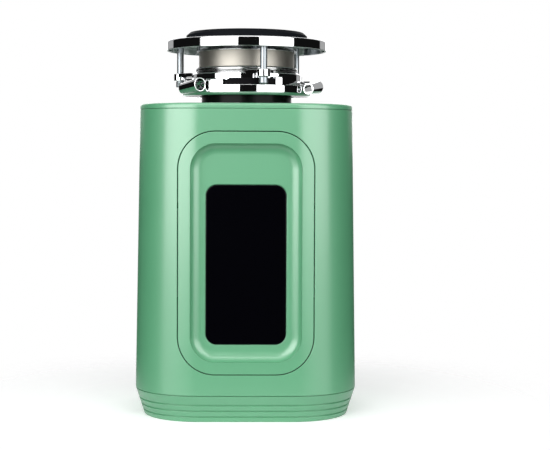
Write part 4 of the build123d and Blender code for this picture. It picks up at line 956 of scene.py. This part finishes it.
ramp_in, ramp_out, ramp_half_span, ramp_rise, ramp_slope = 49.2, 56.5, 25.5, 2.2, 0.0535
ramp_sections = []
for azimuth in even_steps(-ramp_half_span, ramp_half_span, 16):
    rise = [ramp_rise + ramp_slope * radius * sin(radians(azimuth)) for radius in (ramp_out, ramp_in)]
    ramp_sections.append((azimuth, [(ramp_in, z_cushion), (ramp_out, z_cushion),
                                    (ramp_out, z_cushion + rise[0]), (ramp_in, z_cushion + rise[1])]))
ramps = repeated(bent("ramp", ramp_sections, 0.4), "chrome", first=ramp_turn)

finger_r, finger_sheet = 56.6, 1.3
finger_profile = rounded([
    (ramp_in, -39.0, 0), (finger_r - finger_sheet, -39.0, 0.2), (finger_r - finger_sheet, -45.0, 0),
    (finger_r, -45.0, 0), (finger_r, -37.7, finger_sheet), (ramp_in, -37.7, 0)], steps=3)
finger = bent("finger", [(azimuth, finger_profile) for azimuth in even_steps(27, 34, 12)], 0.25)
fingers = repeated(finger, "chrome")
print("ramps:", len(ramps.data.polygons), "faces, fingers:", len(fingers.data.polygons))

# %% Mounting ring: ears
screw_circle_r, boss_r, screw_hole_r, chamfer = 64.0, 6.1, 3.35, 0.4
ear_low, ear_inward, ear_widen = z_ear_top - 3.2, 15.6, 6.9


def ear_reach(angle):
    """From the screw's axis to the outline of the ear, in a direction of the plan."""
    sideways, inward = ear_inward * abs(cos(angle)), ear_widen * sin(angle)
    if inward <= 0:
        return boss_r
    to_side = boss_r * ear_inward / (sideways - inward) if sideways > inward else 99
    return min(to_side, ear_inward / sin(angle))


def ear_ring(height, radius=None, inset=0.0):
    """A ring round the screw's axis: a circle, or the ear's outline drawn in."""
    ring = []
    for step in range(72):
        angle = radians(5 * step)
        reach = radius or ear_reach(angle) - inset
        ring.append((reach * cos(angle), -screw_circle_r + reach * sin(angle), height))
    return ring


ear_rings = [ear_ring(z_ear + chamfer, screw_hole_r), ear_ring(z_ear_top - chamfer, screw_hole_r),
             ear_ring(z_ear_top, screw_hole_r + chamfer)]
ear_rings += [ear_ring(height, None, inset) for inset, height in rounded(
    [(2, z_ear_top, 0), (0, z_ear_top, 0.7), (0, ear_low, 0)])]
ear_rings += [ear_ring(height, radius) for radius, height in rounded(
    [(boss_r, ear_low - 0.5, 0), (boss_r, z_ear, 0.5), (screw_hole_r + chamfer, z_ear, 0)])]
ears = repeated(skin("ear", ear_rings), "chrome", first=ear_turn)
dress(settle(joined("mounting_ring_skin", [band, ramps, fingers, ears])), "root", "mounting_ring")

# %% [markdown]
# Each long screw goes up through an ear, and its point pushes the pan. It is
# one skin from the slotted head to the point, turned on the axis and then moved
# to its ear, because a screw rides on a body of its own. Threads this fine
# wouldn't show, so the shank is plain.

# %% Screws
screw_r, head_r, head_height, screw_low, screw_top = 3.15, 4.0, 5.6, -44.7, -6.0
slot_reach, slot_half, slot_depth = 5, 0.6, 1.6
slot_corners = [(-slot_reach, -slot_half), (slot_reach, -slot_half), (slot_reach, slot_half),
                (-slot_reach, slot_half)]
screw_profile = [(0.4, screw_low, 0), (head_r, screw_low, 0.5), (head_r, screw_low + head_height, 0.4),
                 (screw_r, screw_low + head_height, 0.2), (screw_r, screw_top, 0.8), (0.4, screw_top, 0)]
for number in range(3):
    azimuth = ear_turn + 120 * number
    screw = turned("screw", screw_profile, count=36, closed=False)
    cut(screw, prism("slot", slot_corners, screw_low - 1, screw_low + slot_depth))
    screw.data.transform(Matrix.Rotation(radians(azimuth), 4, "Z"))
    screw.data.transform(Matrix.Translation(around(screw_circle_r, azimuth, 0) * mm))
    dress(settle(screw), f"screw_{number + 1}", f"mounting_screw_{number + 1}")

# %% [markdown]
# The cushion keeps the motor's hum out of the sink. It is a rubber cup between
# the two rings, with three blocks that stand up where no ramp is.

# %% Cushion with its three blocks
lip_r, lip_top, lip_under = 49.5, -48.7, -50.7
cushion_r, cushion_low, block_in, block_out, block_rise = 55, -52.4, 50.6, 54.98, 6
cushion = turned("cushion", [
    (41.5, cushion_low, 0.5), (cushion_r, cushion_low, 1.0), (cushion_r, z_cushion, 0.5),
    (39, z_cushion, 0.5), (39, lip_top, 0), (lip_r, lip_top, 0), (lip_r, lip_under, 0),
    (41.5, lip_under, 0)])
block_tops = [(-27, 3)] + [(azimuth, block_rise) for azimuth in even_steps(-23.7, 23.7, 12)] + [(27, 3)]
block_foot = z_cushion - 0.6
block = bent("block", [(azimuth, [(block_in, block_foot), (block_out, block_foot),
                                  (block_out, z_cushion + rise), (block_in, z_cushion + rise)])
                       for azimuth, rise in block_tops], 0.4)
blocks = repeated(block, "cushion_rubber", first=7.5)
dress(settle(joined("cushion_skin", [cushion, blocks])), "root", "cushion_gasket")

# %% [markdown]
# The locking ring is a pressed cup. Three hooks on its edge go over the ramps.
# The lugs, which a hand or a tool turns, are rolled from strip into short
# tapered tubes, so they are hollow and dark inside. Each is a skin along its
# axis, which is a tangent of the ring.

# %% Locking ring: band, hooks and rolled lugs
lock_r, lock_bore_r, hook_top = 59, 43.2, -39.9
lock_band = turned("lock_band", [
    (lock_bore_r, z_lock, 0.4), (lock_r, z_lock, 3.2), (lock_r, z_cushion, 0.5),
    (lock_r - sheet, z_cushion, 0.5), (lock_r - sheet, z_lock + sheet, sheet),
    (lock_bore_r, z_lock + sheet, 0.4)], steps=6)
hook_low, hook_r = z_cushion - 0.6, lock_r + 0.02
hook_profile = rounded([
    (lock_r - sheet, hook_low, 0), (hook_r, hook_low, 0), (hook_r, hook_top, sheet), (51.5, hook_top, 0),
    (51.5, hook_top - sheet, 0), (lock_r - sheet, hook_top - sheet, 0.3)], steps=3)
hook = bent("hook", [(azimuth, hook_profile) for azimuth in even_steps(-38, -21, 12)], 0.3)
hooks = repeated(hook, "chrome")

lug_half, lug_sheet, lug_out, lug_r, lug_taper, lug_rise, lug_lean = 12.5, 1.1, 63.3, 5.6, 1.4, 7.6, 2.8
lug_rings = []
for along, inset in rounded([(-lug_half, 0, 0.4), (lug_half, 0, 0.4), (lug_half, lug_sheet, 0.4),
                             (-lug_half, lug_sheet, 0.4)]):
    share = along / (2 * lug_half)
    centre = (along, -lug_out, z_lock + lug_rise + lug_lean * share)
    lug_rings.append(circle(centre, lug_r + lug_taper * share - inset, back, up, 36))
lugs = repeated(skin("lug", lug_rings), "chrome", first=-50.3)
dress(settle(joined("locking_ring_skin", [lock_band, hooks, lugs])), "lock", "locking_ring")

# %% [markdown]
# Looking down the sleeve one sees the splash guard, a rubber cup whose floor is
# slit into eight petals that bend under what falls on them. One petal is
# modelled between two slits of an even width, and repeated.

# %% Splash guard
petal_low, petal_top, half_slit = -53.3, -51.7, 0.7
guard = turned("guard", [
    (37, -43.7, 0.4), (46, -43.7, 0.3), (46, z_cushion, 0.3), (38.6, z_cushion, 0.4),
    (38.6, petal_low, 1.2), (32, petal_low, 0), (32, petal_top, 0), (37, petal_top, 0.6)])
petal_outline = []
for radius, turn_sign in ((32.3, 1), (13, -1)):
    half_span = 22.5 - asin(half_slit / radius) * 180 / pi
    petal_outline += [around(radius, azimuth, 0).xy
                      for azimuth in even_steps(turn_sign * half_span, -turn_sign * half_span, 8)]
petal = soften(prism("petal", petal_outline, petal_low, petal_top), 0.4)
petals = repeated(petal, "rubber_black", count=8, first=22.5, step=45)
dress(settle(joined("guard_skin", [guard, petals])), "root", "splash_guard")

# %% [markdown]
# Most of the hopper is inside the housing, but its black neck shows above the
# lid and its inlet shows at the back. The bowl is one turned skin, whose lip
# lies in the cushion, with the bore of the inlet and six screw holes cut
# through it. The inlet's pipe is a skin of its own.

# %% Hopper
neck_r, hopper_wall, bowl_r, bowl_low, bowl_high = 41.2, 2.2, 68.0, -154.3, -93.3
neck_foot, flange_rise, hopper_bend, flange_r = z_shoulder - 6.7, 3, 9, bowl_r + 10
neck_in, bowl_in = neck_r - hopper_wall, bowl_r - hopper_wall
bowl = turned("bowl", [
    (neck_in, lip_top, 0.3), (lip_r, lip_top, 0.3), (lip_r, lip_under, 0.3), (neck_r, lip_under, 0.3),
    (neck_r, neck_foot, hopper_bend), (bowl_r, bowl_high, hopper_bend), (bowl_r, bowl_low + flange_rise, 1),
    (flange_r, bowl_low + flange_rise, 0.6), (flange_r, bowl_low, 0.6), (bowl_in, bowl_low, 0.3),
    (bowl_in, bowl_high - hopper_wall, hopper_bend), (neck_in, neck_foot - hopper_wall, hopper_bend)])
inlet_bore_r, inlet_barb_r, inlet_r, hole_circle_r, hole_r = 8.5, 11, 12.2, 73.4, 2.2
cut(bowl, back_cutter("inlet_bore", 0, inlet_level, 2 * inlet_bore_r, 2 * inlet_bore_r,
                      inlet_bore_r - near_round, near=50, far=80))
for step in range(6):
    outline = circle(around(hole_circle_r, 90 + 60 * step, 0).xy, hole_r, right, back, 18)
    cut(bowl, prism("screw_hole", outline, bowl_low - 1, bowl_low + 4))
inlet_pipe = skin("inlet_pipe", [circle((0, depth, inlet_level), radius, right, up, 48)
                                 for radius, depth in rounded([
                                     (inlet_bore_r, 66, 0), (inlet_r, 66, 0), (inlet_r, 95, 0.4),
                                     (inlet_barb_r, 95, 0.3), (inlet_barb_r, 110, 0.6),
                                     (inlet_bore_r, 110, 0.6)])])
dress(settle(joined("hopper_skin", [bowl, inlet_pipe])), "root", "hopper")

# %% [markdown]
# ## What shows at the back and underneath
# At the back stand the discharge elbow with its flange and bolts, and the cord
# gland. Under the base sit eight screw heads and the red reset button. The
# elbow is a pipe with a wall, so one skin runs along its outside, over the end,
# and back along its inside: circles that lean over as the path bends down.

# %% Discharge elbow
tube_r, tube_bore_r, bend_r, edge = 19.0, 17.0, 28.0, 0.5
collar_reach, collar_rise = 23.5, 2.5
elbow_start, elbow_axis, tail_low = 90.5, 128.5, -268.3


def across_pipe(place, lean, radius):
    """A circle across the pipe: a lean of 0 looks backwards, one of 90 degrees down."""
    return circle((0, *place), radius, (0, sin(lean), cos(lean)), right, 60)


bend_middle = elbow_axis - bend_r, outlet_level - bend_r
path = [((bend_middle[0], outlet_level), 0)]
for degrees in range(5, 90, 5):
    lean = radians(degrees)
    path.append(((bend_middle[0] + bend_r * sin(lean), bend_middle[1] + bend_r * cos(lean)), lean))
path.append(((elbow_axis, bend_middle[1]), pi / 2))

elbow_rings = [across_pipe((elbow_start + rise, outlet_level), 0, radius) for radius, rise in rounded(
    [(tube_bore_r, 0, edge), (collar_reach, 0, edge), (collar_reach, collar_rise, edge),
     (tube_r, collar_rise, 0.6)])]
elbow_rings += [across_pipe(place, lean, tube_r) for place, lean in path]
elbow_rings += [across_pipe((elbow_axis, tail_low - drop), pi / 2, radius) for radius, drop in rounded(
    [(tube_r, -5, 0), (tube_r, 0, edge), (tube_bore_r, 0, edge), (tube_bore_r, -5, 0)])]
elbow_rings += [across_pipe(place, lean, tube_bore_r) for place, lean in reversed(path)]
dress(settle(skin("elbow", elbow_rings)), "root", "discharge_tube")

# %% Clamp flange: from the pipe's hole to its rounded outline, on the same bearings
flange_near, flange_sheet, pipe_hole_r, bolt_span = 93.0, 2.5, 19.25, 27.0
flange_outline = (72, 46, 20)
flange_bearings = [point.normalized() for point in rounded_outline(*flange_outline)]

flange_rings = []
for radius, depth in rounded([(21, 0, 0), (pipe_hole_r, 0, 0.4), (pipe_hole_r, flange_sheet, 0.4),
                              (21, flange_sheet, 0)]):
    flange_rings.append([(radius * x, flange_near + depth, outlet_level + radius * z)
                         for x, z in flange_bearings])
for inset, depth in rounded([(2, flange_sheet, 0), (0, flange_sheet, 0.6), (0, 0, 0.6), (2, 0, 0)]):
    flange_rings.append([(x, flange_near + depth, outlet_level + z)
                         for x, z in rounded_outline(*drawn_in(flange_outline, inset))])
clamp_flange = skin("clamp_flange", flange_rings)
for side in (-1, 1):
    cut(clamp_flange, back_cutter("bolt_hole", side * bolt_span, outlet_level, 5.5, 5.5, 2.74))
dress(settle(clamp_flange), "root", "discharge_flange")

# %% Its two bolts: a six-sided head, and a round shank
head_apothem, bolt_r, bolt_sides = 4.2, 2.5, 60


def hexagon_ring(middle, depth, inset):
    """A ring round the bolt's head: its radius follows six flats."""
    ring = []
    for step in range(bolt_sides):
        angle, from_flat = radians(6 * step), radians(6 * (step % 10) - 30)
        radius = head_apothem / cos(from_flat) - inset
        ring.append((middle + radius * sin(angle), depth, outlet_level + radius * cos(angle)))
    return ring


bolts = []
for middle in (-bolt_span, bolt_span):
    rings = [hexagon_ring(middle, depth, inset) for inset, depth in (
        (4.8, 99), (1.2, 99), (0.5, 98.8), (0, 98.2), (0, 95.9), (0.4, 95.5))]
    rings += [circle((middle, depth, outlet_level), bolt_r, up, right, bolt_sides) for depth in (95.5, 80.0)]
    bolts.append(skin("bolt", rings, closed=False, sharp=25))
dress(settle(joined("bolts", bolts)), "root", "discharge_bolts")

# %% Cord gland: a domed collar with a funnel that saves the cord from a sharp edge
gland_base, gland_bore_r, gland_r, gland_rise = half_at(gland_level) + 0.3, 4.5, 9, 3.7
collar = skin("collar", [circle((gland_across, gland_base + depth, gland_level), radius, right, up, 48)
                         for radius, depth in rounded([
                             (gland_bore_r, -8, 0), (gland_r, -0.02, 0), (gland_r, gland_rise, 1.3),
                             (gland_bore_r, gland_rise, 1.2)])])

neck_outline = rounded_outline(13.6, 13.6, 2.0, steps=11)
neck_start, neck_end = 89.44, gland_base + 0.5
neck_rings = []
for share, depth in ((0, neck_start), (1, neck_start), (1, neck_end), (0, neck_end)):
    places = [share * point + (1 - share) * gland_bore_r * point.normalized() for point in neck_outline]
    neck_rings.append([(gland_across + x, depth, gland_level + z) for x, z in places])
dress(settle(joined("gland", [collar, skin("neck", neck_rings)])), "root", "cord_gland")

# %% [markdown]
# The base screws have a low round head with a cross in it. One is made at each
# of the two radii, and the tree repeats it four times. The button is a small
# cap with a shoulder that keeps it from falling out.

# %% Base screws
screw_circles, shank_r, screw_head_r, cross_reach, cross_half = (96.167, 59.397), 2, 4, 2.6, 0.5
cross = [(cross_reach, cross_half), (cross_half, cross_half), (cross_half, cross_reach)]
for _ in range(3):
    cross += [(-y, x) for x, y in cross[-3:]]
head_profile = [(radius, panel_under + rise, 0) for radius, rise in (
    (0.3, 12), (shank_r, 12), (shank_r, 0), (screw_head_r - 0.1, 0), (screw_head_r, -0.3),
    (screw_head_r - 0.2, -1.3), (screw_head_r - 1, -1.9), (0.3, -2))]
screws = []
for reach in screw_circles:
    head = turned("screw_head", head_profile, count=24, y=-reach, closed=False)
    cut(head, prism("cross", [(x, y - reach) for x, y in cross], panel_under - 3, panel_under - 1))
    screws.append(repeated(head, "screw_steel", count=4, first=45, step=90))
dress(settle(joined("base_screw_heads", screws)), "root", "base_screws")

# %% Reset button
button_r, button_low, shoulder_r, shoulder_low, stem_r = 5.2, panel_under - 3, 6.0, panel_under + 2.9, 2.5
button = turned("button", [
    (0.3, button_low, 0), (button_r, button_low, 1.0), (button_r, shoulder_low, 0),
    (shoulder_r, shoulder_low, 0), (shoulder_r, panel_under + 4, 0), (stem_r, panel_under + 4, 0),
    (stem_r, panel_under + 12, 0), (0.3, panel_under + 12, 0)], count=48, y=button_y, closed=False)
dress(settle(button), "button", "reset_button")

# %% [markdown]
# Last, the box of the CAD pieces is taken up again. Soft edges may not make
# the object any larger than it is.

# %% The box of the CAD pieces
low, high = cad_box
